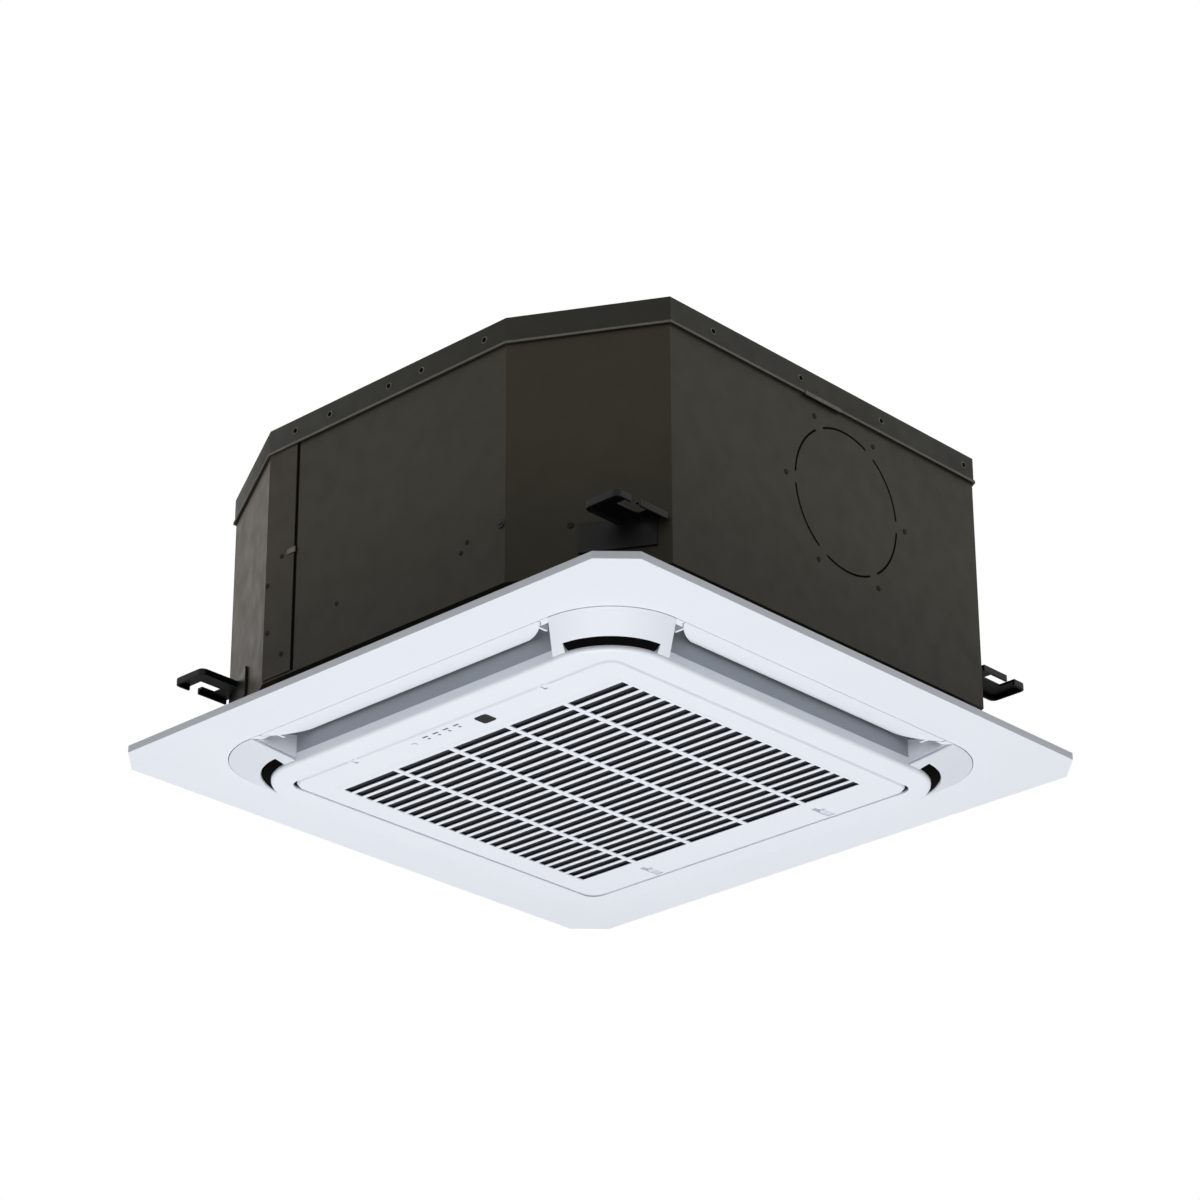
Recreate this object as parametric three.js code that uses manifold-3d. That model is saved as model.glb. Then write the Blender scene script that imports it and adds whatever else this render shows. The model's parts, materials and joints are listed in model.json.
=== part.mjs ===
// Four-way ceiling cassette air conditioner: a 570 mm body hung above the ceiling and a 647 mm
// decoration panel below it. Millimetres, +Z up. The origin is the middle of the ceiling opening,
// in the plane of the ceiling's face, which the top of the panel's rim touches.
import * as THREE from 'three';
import * as BufferGeometryUtils from 'three/addons/utils/BufferGeometryUtils.js';
import Module from 'manifold-3d';

const wasm = await Module();
wasm.setup();

// ---------------------------------------------------------------- driving dimensions
const GAP = 0.3; // between pieces that seat on each other
const RUN = 0.3; // radial running gap of pins and shafts
const SHEET = 1.2; // sheet steel of the body
const WALL = 2.5; // moulded wall of the panel
const END_WALL = 3.4; // slanting end wall of an outlet, along the outlet

// decoration panel
const PANEL = 647;
const PANEL_CORNER = 28.8; // leg of the panel's cut corners
const RIM = 7.3; // depth of the rim below the ceiling
const RIM_LIP = 4; // width of the rim's upstand that touches the ceiling
const BORDER = 56.5; // width of the flat border
const SLOPE = 33; // width of the outlet slope, seen from below
const SLOPE_DROP = 19.2; // height of that slope
const RING_ROUND = 3.5; // rounded edge between slope and ring
const OUTER_ROUND = 76; // corner radius of the slope's outer edge
const INNER_ROUND = 60; // corner radius of its inner edge
const PANEL_DEPTH = 50;
const SEAL = 10; // foam between panel and body

// outlets: trapezoids, longer at the outside
const OUTER_END = 78; // outlet's end to the slope's corner, at the outer edge
const INNER_END = 71; // and at the inner edge
const DUCT_STEP = 8; // the body's outlets are this much shorter at each end
const ARC_SLOT = 8.3; // width of the corner slots
const ARC_SPREAD = 38; // half angle of a corner slot, degrees

// louvres
const PIVOT_IN = 17; // louvre axis, in from the border's edge
const PIVOT_UP = 9.3; // and above the border's face
const BLADE = 2.2;
const BLADE_SEAM = 0.5; // between the blade and the border
const BLADE_SHORT = 12; // blade's outer corner to the outlet's end
const BLADE_TAPER = 21; // how much shorter its inner edge is at each end
const BLADE_ROUND = 18;
const BLADE_WIDTH = 29;
// blade's underside: distance in from its outer edge, height above the border's face
const BLADE_CURL = [[0, 0], [7.5, 0.3], [17.5, 1.2], [25.5, 2.6], [29, 3.8]];
const ARM = 2.5; // thickness of a louvre's end arms
const ARM_GAP = 1; // between an arm and the outlet's end wall
const ARM_REACH = 10; // how far an arm swings past the axis
const ARM_HALF = 6;
const ARM_FOOT = [1.2, 2.8]; // its foot inside the blade, above the border's face
const PIN_R = 2.5;
const MOTOR_R = 10;
const MOTOR_LENGTH = 13;

// intake grille
const RING_FLAT = 28.2; // width of the ring round the grille
const GRILLE_ROUND = 17.5;
const SEAM = 1.3;
const RING_CORNER = 14.2; // corner radius of the ring's opening, clear of the grille as it swings
const GRILLE_WALL = 2.5;
const GRILLE_T = 3;
const GRILLE_RISE = 11; // height of its edge wall
const EDGE_BEVEL = 2;
const FIELD_SIDE = 27.5; // slotted field, in from the grille's sides
const FIELD_END = 41.5; // and from its ends
const COLUMNS = 5;
const ROWS = 24;
const MULLION = 5.5;
const SLOT = 7.6; // clear width of a slot
const SLAT_LEAN = 1.6; // how far a slot leans over its depth
const HINGE_X = 120;
const HINGE_IN = 2.3; // hinge axis, in from the grille's edge
const HINGE_UP = 3; // and up from its face
const HINGE_PIN_R = 1.5;
const HINGE_PIN = 12;
const EAR = 2.4;
const EAR_REACH = 4.5; // ear past the hinge axis
const EAR_LOW = 0.4; // its foot above the grille's face
const NOTCH = 5.4; // notch for the ear past the hinge axis
const LATCH_X = 110;
const LATCH_SLOT = [10, 24];
const LATCH_PAD = 12;
const LATCH_BASE = [18, 24];
const LATCH_EDGE = 2.5; // latch slot to the grille's edge

// filter
const FILTER_FRAME = 8;
const FILTER_T = 4;
const FILTER_NET = 0.8;
const FILTER_RIB = 2.5;
const FILTER_GRID = [5, 4];
const FILTER_MARGIN = 6; // filter past the slotted field

// signal strip on the grille
const STRIP_IN = 14; // strip centre, in from the grille's edge
const RECEIVER_X = 35;
const RECEIVER = 15; // side of its window
const RECEIVER_ROUND = 2.5;
const LED_X = -33;
const LED_STEP = 13;
const LEDS = 4;
const LED_R = 1.5;
const BUTTON_X = -52;
const BUTTON_R = 2.6;
const BOARD_T = 1.6;
const BOARD_PARTS = [ // control board's larger parts: centre on the board, then size
  [30, 16, 22, 20, 9], [60, 44, 16, 16, 7], [90, 21, 12, 26, 8], [120, 41, 24, 14, 6], [156, 26, 16, 22, 9],
];

// body
const OVERHANG = 38.5; // panel past the body, all round
const BODY_HEIGHT = 260;
const CUT_X = 130; // corner cuts of the body, along X
const CUT_Y = 72; // and along Y
const SKIRT = 26.5;
const HEM = 3;
const BEAD = 2.5;
const BEAD_IN = 145; // pressed ring of the lid, in from the body's side
const FLANGE = 12;
const CORNER_LAP = 20; // corner sheet past the cut, on the -Y wall
const KNOCK_Y = 23;
const KNOCK_Z = 175;
const KNOCK_R = 71;
const KNOCK_SLIT = 1.6;
const KNOCK_BRIDGE = 9; // degrees between the slits
const KNOCK_HOLES_R = 83.5;
const KNOCK_HOLE = 2.2;
const PLUG_IN = 5; // wall plug, in from the corner cut
const PLUG_Z = 89;
const PLUG_HOLE = 3.2;

// hanging lugs
const HANG_IN_X = 12.5; // bolts, in from the body's sides
const HANG_IN_Y = 23.5;
const LUG_Z = 75;
const LUG_T = 2.5;
const LUG_MARGIN_X = 12;
const LUG_MARGIN_Y = 20;
const LUG_LIP = 4; // turned-down edge below the plate
const LUG_ROOT = 28; // lug's inner edge, in from the bolt
const LUG_ROUND = 6;
const LUG_FLANGE = 26;
const LUG_FLANGE_LENGTH = 70;
const BOLT_SLOT = 11;
const BOLT_SLOT_LENGTH = 26;
const SLOT_PAST = 2; // slot past the bolt's middle
const LUG_START = 5; // lug's inner end, past the corner cut's end
const LUG_SHIFT = 26; // flange along the cut, from its middle

// insulation, coil, pan
const LINER = 14;
const LINER_TOP = 12;
const AIR_DUCT = 63; // wrap to coil
const COIL_T = 38;
const COIL_ROUND = 60;
const COIL_END = 95; // where the coil's two ends stop
const END_PLATE = 1.2;
const TUBE_R = 4.8;
const BEND_R = 9.5;
const BEND_LEG = 4;
const TUBE_BENDS = 4;
const PAN_HEIGHT = 28;
const TROUGH = 12;
const TROUGH_SIDE = 4;
const SUMP_R = 34;
const SUMP_DEEP = 16;
const PUMP_IN = [110, 70]; // drain pump, in from the wrap's corner
const PUMP_R = 24;
const FLOAT_OFF = 40; // float, past the coil's end
const FLOAT_R = 6;

// fan
const FAN_CLEAR = 24; // fan to coil
const FAN_TOP = 205;
const FAN_SKIN = 2.5;
const FAN_SIDES = 21;
const SHROUD_Z = 66;
const THROAT_IN = 42; // bell mouth's throat, in from the fan's rim
const THROAT_GAP = 3.5;
const EYE_IN = 72; // leading edges of the fan blades, in from its rim
const BLADES = 7;
const BLADE_SWEEP = 52; // degrees that a fan blade leans back
const HUB_R = 12;
const SHAFT_R = 4;
const DRIVE_R = 58; // fan motor
const DRIVE_BOTTOM = 170;
const DRIVE_HEIGHT = 85;
const BUSH_R = 7;
const BUSH_H = 7.2;
const BUSH_CIRCLE = 45;
const BUSHES = 3;
const BRACKET_R = 88;

// bell mouth and electrical box
const MOUTH_RIM = 8; // bell mouth past the fan's rim
const MOUTH_FLANGE = 16; // its flat rim
const MOUTH_T = 2.2;
const BOX_IN = 27; // electrical box, in from the slotted field's sides
const BOX_WIDE = 72;
const BOX_LAP = 44; // box under the bell mouth
const BOX_H = 30;
const BOX_T = 1.5;

// pipes through the -X wall
const GAS_R = 6.35;
const LIQUID_R = 3.2;
const GAS_IN = [95, 155]; // in from the corner, and height
const LIQUID_IN = [110, 125];
const DRAIN_IN = [95, 215];
const DRAIN_R = 12.5;
const HOSE_R = 8;
const STUB = 33;
const WINDOW_IN = [119, 77];
const WINDOW_Z = [110, 236];

// ---------------------------------------------------------------- levels and halves
const PH = PANEL / 2;
const STEP_OUT = PH - BORDER;
const STEP_IN = STEP_OUT - SLOPE;
const Z_BORDER = -RIM;
const Z_STEP = Z_BORDER - SLOPE_DROP;
const Z_FACE = Z_STEP - RING_ROUND;
const Z_BACK = Z_FACE + PANEL_DEPTH;
const OUTLET_OUTER = STEP_OUT - OUTER_END; // half length of an outlet at its outer edge
const OUTLET_INNER = STEP_IN - INNER_END;
const BODY_OUTLET = OUTLET_INNER - DUCT_STEP;
const BLADE_OUTER = OUTLET_OUTER - BLADE_SHORT;
const BLADE_INNER = BLADE_OUTER - BLADE_TAPER;
const BH = PH - OVERHANG;
const Z_BODY = Z_BACK + SEAL + 0.7;
const Z_TOP = Z_BODY + BODY_HEIGHT;
const Z_PAN = Z_BODY + SHEET + GAP;
const Z_PAN_TOP = Z_PAN + PAN_HEIGHT;
const Z_TROUGH = Z_PAN_TOP - TROUGH;
const Z_INSIDE = Z_TOP - SHEET - GAP - LINER_TOP;
const COIL_OUT = BH - AIR_DUCT;
const COIL_IN = COIL_OUT - COIL_T;
const FAN_R = COIL_IN - FAN_CLEAR;
const THROAT = FAN_R - THROAT_IN;
const MOUTH_R = FAN_R + MOUTH_RIM;
const MOUTH_FLARE = MOUTH_R - MOUTH_FLANGE;
const RING_IN = STEP_IN - RING_FLAT;
const GH = RING_IN - SEAM;
const FIELD_X = 2 * (GH - FIELD_SIDE); // slotted field
const FIELD_Y = 2 * (GH - FIELD_END);
const Z_INNER = Z_FACE + GRILLE_T; // back of the grille's plate
const BOX_X = FIELD_X - 2 * BOX_IN;
const BOX_Y = [MOUTH_R - BOX_LAP, MOUTH_R - BOX_LAP + BOX_WIDE];
const HANG = [BH - HANG_IN_X, BH - HANG_IN_Y];
const PUMP = [PUMP_IN[0] - BH, BH - PUMP_IN[1]];
const FLOAT = [-COIL_END - FLOAT_OFF, (COIL_OUT + COIL_IN) / 2];
const GAS_AT = [BH - GAS_IN[0], GAS_IN[1]];
const LIQUID_AT = [BH - LIQUID_IN[0], LIQUID_IN[1]];
const DRAIN_AT = [BH - DRAIN_IN[0], DRAIN_IN[1]];
const WINDOW = { y0: BH - WINDOW_IN[0], y1: BH - WINDOW_IN[1], z0: WINDOW_Z[0], z1: WINDOW_Z[1] };
const BEAD_R = BH - BEAD_IN;
const PLUG_X = BH - CUT_X - PLUG_IN;
const PIVOT_W = STEP_OUT - PIVOT_IN;
const PIVOT_Z = Z_BORDER + PIVOT_UP;
const Z_BOX = Z_PAN - 2 * GAP - MOUTH_T; // top of the electrical box
const HINGE_Y = -GH + HINGE_IN;
const HINGE_Z = Z_FACE + HINGE_UP;
const STRIP_Y = -GH + STRIP_IN;
const FAR = 2 * PANEL; // for cutters that run past everything

// ---------------------------------------------------------------- solids
function solid(geometry) {
  const bare = geometry.clone();
  bare.deleteAttribute('normal');
  bare.deleteAttribute('uv');
  const merged = BufferGeometryUtils.mergeVertices(bare, 1e-4);
  const mesh = new wasm.Mesh({
    numProp: 3,
    vertProperties: new Float32Array(merged.attributes.position.array),
    triVerts: new Uint32Array(merged.index.array),
  });
  return new wasm.Manifold(mesh);
}

const join = (...parts) => parts.reduce((sum, next) => sum.add(next));
const cut = (base, ...tools) => tools.reduce((rest, tool) => rest.subtract(tool), base);

function geometryOf(body) {
  const mesh = body.getMesh();
  const geometry = new THREE.BufferGeometry();
  geometry.setAttribute('position', new THREE.BufferAttribute(new Float32Array(mesh.vertProperties), 3));
  geometry.setIndex(new THREE.BufferAttribute(new Uint32Array(mesh.triVerts), 1));
  geometry.computeVertexNormals();
  return geometry;
}

function shapeOf(points) {
  return new THREE.Shape(points.map(([x, y]) => new THREE.Vector2(x, y)));
}

// straight prism of an outline between two levels
function prism(outline, z0, z1, curveSegments = 5) {
  const shape = outline instanceof THREE.Shape ? outline : shapeOf(outline);
  const geometry = new THREE.ExtrudeGeometry(shape, { depth: z1 - z0, bevelEnabled: false, curveSegments });
  return solid(geometry.translate(0, 0, z0));
}

function block(x0, x1, y0, y1, z0, z1) {
  const geometry = new THREE.BoxGeometry(x1 - x0, y1 - y0, z1 - z0);
  return solid(geometry.translate((x0 + x1) / 2, (y0 + y1) / 2, (z0 + z1) / 2));
}

function rod(radius, z0, z1, x = 0, y = 0, sides = 10) {
  const geometry = new THREE.CylinderGeometry(radius, radius, z1 - z0, sides);
  return solid(geometry.rotateX(Math.PI / 2).translate(x, y, (z0 + z1) / 2));
}

// rod along X
function rodX(radius, x0, x1, y, z, sides = 8) {
  const geometry = new THREE.CylinderGeometry(radius, radius, x1 - x0, sides);
  return solid(geometry.rotateZ(Math.PI / 2).translate((x0 + x1) / 2, y, z));
}

// closed profile of [radius, z] points, turned about Z
function turned(profile, segments = 32) {
  const points = profile.map(([r, z]) => new THREE.Vector2(r, z));
  points.push(points[0].clone());
  let area = 0;
  for (let i = 0; i < profile.length; i += 1) {
    const [r0, z0] = profile[i];
    const [r1, z1] = profile[(i + 1) % profile.length];
    area += r0 * z1 - r1 * z0;
  }
  if (area < 0) points.reverse();
  return solid(new THREE.LatheGeometry(points, segments).rotateX(Math.PI / 2));
}

// half circle from -x over +y to +x, radius BEND_R
class HalfTurn extends THREE.Curve {
  constructor(x, y, z) {
    super();
    this.centre = new THREE.Vector3(x, y, z);
  }

  getPoint(t, target = new THREE.Vector3()) {
    const a = Math.PI * (1 - t);
    return target.set(BEND_R * Math.cos(a), BEND_R * Math.sin(a), 0).add(this.centre);
  }
}

function alongPath(path, radius, steps, sides) {
  const section = new THREE.Shape();
  section.absarc(0, 0, radius, 0, 2 * Math.PI, false);
  const options = { steps, extrudePath: path, curveSegments: sides / 2, bevelEnabled: false };
  return solid(new THREE.ExtrudeGeometry(section, options));
}

// tube of round section along a smooth curve through points
function tube(points, radius, steps = 16, sides = 8) {
  const curve = new THREE.CatmullRomCurve3(points.map((p) => new THREE.Vector3(...p)), false, 'centripetal');
  return alongPath(curve, radius, steps, sides);
}

function roundedSquare(half, radius) {
  const shape = new THREE.Shape();
  const c = half - radius;
  shape.absarc(c, c, radius, 0, Math.PI / 2, false);
  shape.absarc(-c, c, radius, Math.PI / 2, Math.PI, false);
  shape.absarc(-c, -c, radius, Math.PI, 1.5 * Math.PI, false);
  shape.absarc(c, -c, radius, 1.5 * Math.PI, 2 * Math.PI, false);
  return shape;
}

function roundedPoints(half, radius, segments) {
  const points = [];
  for (let corner = 0; corner < 4; corner += 1) {
    for (let i = 0; i <= segments; i += 1) {
      const angle = ((corner + i / segments) * Math.PI) / 2;
      const cx = (corner === 0 || corner === 3 ? 1 : -1) * (half - radius);
      const cy = (corner < 2 ? 1 : -1) * (half - radius);
      points.push([cx + radius * Math.cos(angle), cy + radius * Math.sin(angle)]);
    }
  }
  return points;
}

// solid through rounded squares [half, radius, z], from the lowest up
function stack(levels, segments = 5) {
  const ring = ([half, radius, z]) => roundedPoints(half, radius, segments).map(([x, y]) => [x, y, z]);
  return loft(levels.map(ring));
}

// solid through rings of equal point count, the first and last closed by flat caps
function loft(rings) {
  const count = rings[0].length;
  const index = [];
  for (let k = 0; k + 1 < rings.length; k += 1) {
    for (let i = 0; i < count; i += 1) {
      const a = k * count + i;
      const b = k * count + ((i + 1) % count);
      index.push(a, b, b + count, a, b + count, a + count);
    }
  }
  const caps = THREE.ShapeUtils.triangulateShape(rings[0].map(([x, y]) => new THREE.Vector2(x, y)), []);
  const top = (rings.length - 1) * count;
  for (const [a, b, c] of caps) {
    index.push(a, c, b);
    index.push(top + a, top + b, top + c);
  }
  const geometry = new THREE.BufferGeometry();
  geometry.setAttribute('position', new THREE.Float32BufferAttribute(rings.flat(2), 3));
  geometry.setIndex(index);
  return solid(geometry);
}

function moved(body, x, y, z) {
  return body.translate([x, y, z]);
}

const turn = (body, degrees) => body.rotate([0, 0, degrees]);

// ---------------------------------------------------------------- outlines
function panelOutline(inset = 0) {
  const h = PH - inset;
  const c = PANEL_CORNER - inset * (2 - Math.SQRT2);
  return [
    [h - c, -h], [h, -h + c], [h, h - c], [h - c, h],
    [-h + c, h], [-h, h - c], [-h, -h + c], [-h + c, -h],
  ];
}

// the body's eight-sided outline, moved inwards by inset
function bodyOutline(inset = 0) {
  const run = Math.hypot(CUT_X, CUT_Y);
  const h = BH - inset;
  const reach = ((BH - CUT_X) * CUT_Y + BH * CUT_X) / run - inset;
  const x = (reach * run - h * CUT_X) / CUT_Y;
  const y = (reach * run - h * CUT_Y) / CUT_X;
  return [[x, -h], [h, -y], [h, y], [x, h], [-x, h], [-h, y], [-h, -y], [-x, -h]];
}

function bodyRing(outer, inner, z0, z1) {
  return cut(prism(bodyOutline(outer), z0, z1), prism(bodyOutline(inner), z0 - 1, z1 + 1));
}

// half length of an outlet at the distance w from the middle
const outletHalf = (w) => OUTLET_INNER + ((w - STEP_IN) * (OUTLET_OUTER - OUTLET_INNER)) / SLOPE;

// the outlet on the -Y side, grown by margin at its ends
function outletPrism(z0, z1, grow = 0, w0 = STEP_IN, w1 = STEP_OUT) {
  const inner = outletHalf(w0) + grow;
  const outer = outletHalf(w1) + grow;
  return prism([[-outer, -w1], [outer, -w1], [inner, -w0], [-inner, -w0]], z0, z1);
}

function fourOutlets(z0, z1, grow = 0, w0 = STEP_IN, w1 = STEP_OUT) {
  const one = outletPrism(z0, z1, grow, w0, w1);
  return join(one, turn(one, 90), turn(one, 180), turn(one, 270));
}

// ---------------------------------------------------------------- panel
function panelFrame() {
  const hole = prism(roundedSquare(STEP_OUT, OUTER_ROUND), -FAR, FAR);
  const border = cut(
    prism(panelOutline(), Z_BORDER, 0),
    prism(panelOutline(RIM_LIP), Z_BORDER + WALL, 1),
    hole,
  );
  const collar = cut(prism(roundedSquare(STEP_OUT + WALL, OUTER_ROUND + WALL), Z_BORDER, Z_BACK), hole);
  const ringOuter = stack([
    [STEP_IN - RING_ROUND, INNER_ROUND - RING_ROUND, Z_FACE],
    [STEP_IN - RING_ROUND / 3, INNER_ROUND - RING_ROUND / 3, Z_FACE + RING_ROUND / 3],
    [STEP_IN, INNER_ROUND, Z_STEP],
    [STEP_IN, INNER_ROUND, Z_BACK],
  ]);
  const ring = cut(
    ringOuter,
    prism(roundedSquare(RING_IN, RING_CORNER), Z_FACE - 1, Z_BACK),
    prism(roundedSquare(STEP_IN - WALL, INNER_ROUND - WALL), Z_FACE + WALL, Z_BACK + 1),
  );
  const band = cut(
    prism(roundedSquare(STEP_OUT + WALL / 2, OUTER_ROUND + WALL / 2), Z_STEP, Z_BACK),
    prism(roundedSquare(STEP_IN - WALL / 2, INNER_ROUND - WALL / 2), Z_STEP - 1, Z_BACK + 1),
  );
  const ducts = fourOutlets(-FAR, FAR, 0, STEP_IN - WALL, STEP_OUT + WALL);
  const walls = fourOutlets(Z_STEP, Z_BACK, END_WALL, STEP_IN - WALL, STEP_OUT + WALL).intersect(band);
  const roof = band.intersect(prism(roundedSquare(STEP_OUT + WALL, OUTER_ROUND), Z_BACK - WALL, Z_BACK));
  const above = coverSpace();
  const corners = cut(join(walls, roof, screwPosts()).intersect(above), ducts);
  const ears = join(hingeEar(HINGE_X), hingeEar(-HINGE_X));
  return cut(join(border, collar, ring, corners, ears), louvrePinHoles());
}

// the body's four outlet windows, straight-ended and inside the panel's
function bodyOutlets(z0, z1) {
  const one = block(-BODY_OUTLET, BODY_OUTLET, -STEP_OUT, -STEP_IN, z0, z1);
  return join(one, turn(one, 90), turn(one, 180), turn(one, 270));
}

// everything above the corner covers' backs
function coverSpace() {
  const up = coverRise() + GAP;
  return stack([
    [STEP_IN + 0.2, INNER_ROUND + 0.2, Z_STEP + up],
    [STEP_OUT, OUTER_ROUND, Z_BORDER + up],
    [STEP_OUT + WALL, OUTER_ROUND + WALL, Z_BORDER + up],
    [STEP_OUT + WALL, OUTER_ROUND + WALL, Z_BACK],
  ]).add(prism(roundedSquare(STEP_IN, INNER_ROUND), Z_STEP + up, Z_BACK));
}

// upright thickness of a sloping wall
const coverRise = () => WALL * Math.hypot(1, SLOPE_DROP / SLOPE);

function screwPosts() {
  const w = (STEP_OUT + STEP_IN) / 2;
  const c = w - ((OUTER_ROUND + INNER_ROUND) / 2) * (1 - Math.SQRT1_2);
  const post = rod(4, Z_STEP, Z_BACK, c, -c, 8);
  return join(post, turn(post, 90), turn(post, 180), turn(post, 270));
}

function louvrePinHoles() {
  const hole = rodX(PIN_R + RUN, -OUTLET_OUTER, OUTLET_OUTER, -PIVOT_W, PIVOT_Z);
  return join(hole, turn(hole, 90), turn(hole, 180), turn(hole, 270));
}

function hingeEar(x) {
  const y1 = HINGE_Y + EAR_REACH;
  const plate = block(x - EAR / 2, x + EAR / 2, -STEP_IN + 12, y1, Z_FACE + EAR_LOW, Z_FACE + 9);
  return cut(plate, rodX(HINGE_PIN_R + RUN, x - EAR, x + EAR, HINGE_Y, HINGE_Z));
}

function hingePin(x) {
  return rodX(HINGE_PIN_R, x - HINGE_PIN / 2, x + HINGE_PIN / 2, HINGE_Y, HINGE_Z);
}

// sloping cover of the corner between the -Y and +X outlets, with its arc slot
function cornerCover() {
  const outer = [[STEP_IN + GAP, INNER_ROUND + GAP, Z_STEP], [STEP_OUT - GAP, OUTER_ROUND - GAP, Z_BORDER]];
  const inner = outer.map(([half, radius, z]) => [half, radius, z + coverRise()]);
  const skin = cut(
    stack(outer),
    stack(inner),
    prism(roundedSquare(STEP_IN + GAP, INNER_ROUND + GAP), Z_STEP - 1, Z_BORDER + 1),
  );
  const corner = block(0, PH, -PH, 0, Z_STEP - 1, 0);
  const clear = fourOutlets(Z_STEP - 2, 1, 0, STEP_IN - 6, STEP_OUT + 6);
  return cut(skin.intersect(corner), clear, arcSlot());
}

function arcSlot() {
  const c = STEP_IN - INNER_ROUND;
  const middle = -Math.PI / 4;
  const spread = (ARC_SPREAD * Math.PI) / 180;
  const outline = new THREE.Shape();
  outline.absarc(c, -c, INNER_ROUND + ARC_SLOT, middle - spread, middle + spread, false);
  outline.absarc(c, -c, INNER_ROUND - 2, middle + spread, middle - spread, true);
  return prism(outline, Z_STEP - 2, Z_BORDER, 6);
}

// blade and end arms of the louvre on the -Y side, shut flush with the border
function louvre() {
  const w = STEP_OUT - BLADE_SEAM;
  const section = BLADE_CURL.map(([dw, dz]) => [dw - w, Z_BORDER + dz]);
  const over = [...section].reverse().map(([y, z]) => [y, z + BLADE]);
  const blade = alongX([...section, ...over], -BLADE_OUTER, BLADE_OUTER);
  const trimmed = blade.intersect(prism(bladePlan(w), Z_BORDER - 10, Z_BORDER + 20, 3));
  const face = outletHalf(PIVOT_W - ARM_REACH) - ARM_GAP;
  const arms = join(alongX(armOutline(), face - ARM, face), alongX(armOutline(), -face, ARM - face));
  const pins = join(
    rodX(PIN_R, face - ARM, motorFace - GAP, -PIVOT_W, PIVOT_Z),
    rodX(PIN_R, -outletHalf(PIVOT_W) - END_WALL - 1, ARM - face, -PIVOT_W, PIVOT_Z),
  );
  return join(trimmed, arms, pins);
}

function armOutline() {
  const top = PIVOT_Z + PIN_R - 0.1;
  return [
    [-PIVOT_W - ARM_HALF, Z_BORDER + ARM_FOOT[0]], [-PIVOT_W + ARM_HALF, Z_BORDER + ARM_FOOT[1]],
    [-PIVOT_W + ARM_HALF - 2, top], [-PIVOT_W - ARM_HALF + 2, top],
  ];
}

function bladePlan(w) {
  const shape = new THREE.Shape();
  const tip = w - BLADE_WIDTH - 0.5;
  shape.moveTo(-BLADE_OUTER, -w - 1);
  shape.lineTo(BLADE_OUTER, -w - 1);
  shape.lineTo(BLADE_OUTER, -w + 3);
  shape.quadraticCurveTo(BLADE_INNER + 2, -tip - 8, BLADE_INNER - BLADE_ROUND, -tip);
  shape.lineTo(-BLADE_INNER + BLADE_ROUND, -tip);
  shape.quadraticCurveTo(-BLADE_INNER - 2, -tip - 8, -BLADE_OUTER, -w + 3);
  return shape;
}

// prism along X of a [y, z] outline
function alongX(outline, x0, x1) {
  const shape = shapeOf(outline);
  const geometry = new THREE.ExtrudeGeometry(shape, { depth: x1 - x0, bevelEnabled: false });
  const basis = new THREE.Matrix4().makeBasis(
    new THREE.Vector3(0, 1, 0),
    new THREE.Vector3(0, 0, 1),
    new THREE.Vector3(1, 0, 0),
  );
  return solid(geometry.applyMatrix4(basis).translate(x0, 0, 0));
}

// where the motor's face stands, past the slanting end wall of the outlet
const motorFace = outletHalf(PIVOT_W + MOTOR_R) + END_WALL + GAP;

function louvreMotor() {
  const x1 = motorFace + MOTOR_LENGTH;
  const can = rodX(MOTOR_R, motorFace, x1, -PIVOT_W, PIVOT_Z, 12);
  const bracket = block(x1 - 2, x1, -PIVOT_W - 3, -PIVOT_W + 3, PIVOT_Z, Z_BACK - WALL - GAP);
  return join(can, bracket);
}

function ductSeal() {
  const band = cut(
    prism(roundedSquare(STEP_OUT + WALL + 1, OUTER_ROUND + WALL + 1), Z_BACK + GAP, Z_PAN - GAP, 3),
    prism(roundedSquare(STEP_IN - WALL - 1, INNER_ROUND - WALL - 1), Z_BACK, Z_PAN, 4),
  );
  return cut(band.intersect(prism(bodyOutline(FLANGE + GAP), 0, Z_TOP)), bodyOutlets(Z_BACK, Z_PAN));
}

// ---------------------------------------------------------------- grille
function intakeGrille() {
  const plate = stack([
    [GH - EDGE_BEVEL, GRILLE_ROUND - EDGE_BEVEL, Z_FACE],
    [GH, GRILLE_ROUND, Z_FACE + EDGE_BEVEL],
    [GH, GRILLE_ROUND, Z_FACE + GRILLE_RISE],
  ], 5);
  const hollow = prism(roundedSquare(GH - GRILLE_WALL, GRILLE_ROUND - GRILLE_WALL), Z_INNER, 0, 5);
  const knuckles = join(...[HINGE_X, -HINGE_X].flatMap((x) => [knuckle(x, 1), knuckle(x, -1)]));
  const rails = join(latchRails(LATCH_X), latchRails(-LATCH_X));
  const body = join(cut(plate, hollow, hingeRelief(HINGE_X), hingeRelief(-HINGE_X)), knuckles, rails);
  return cut(
    body,
    ...slots(),
    hingeBore(HINGE_X), hingeBore(-HINGE_X),
    latchCut(LATCH_X), latchCut(-LATCH_X),
    stripCuts(),
  );
}

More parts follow.
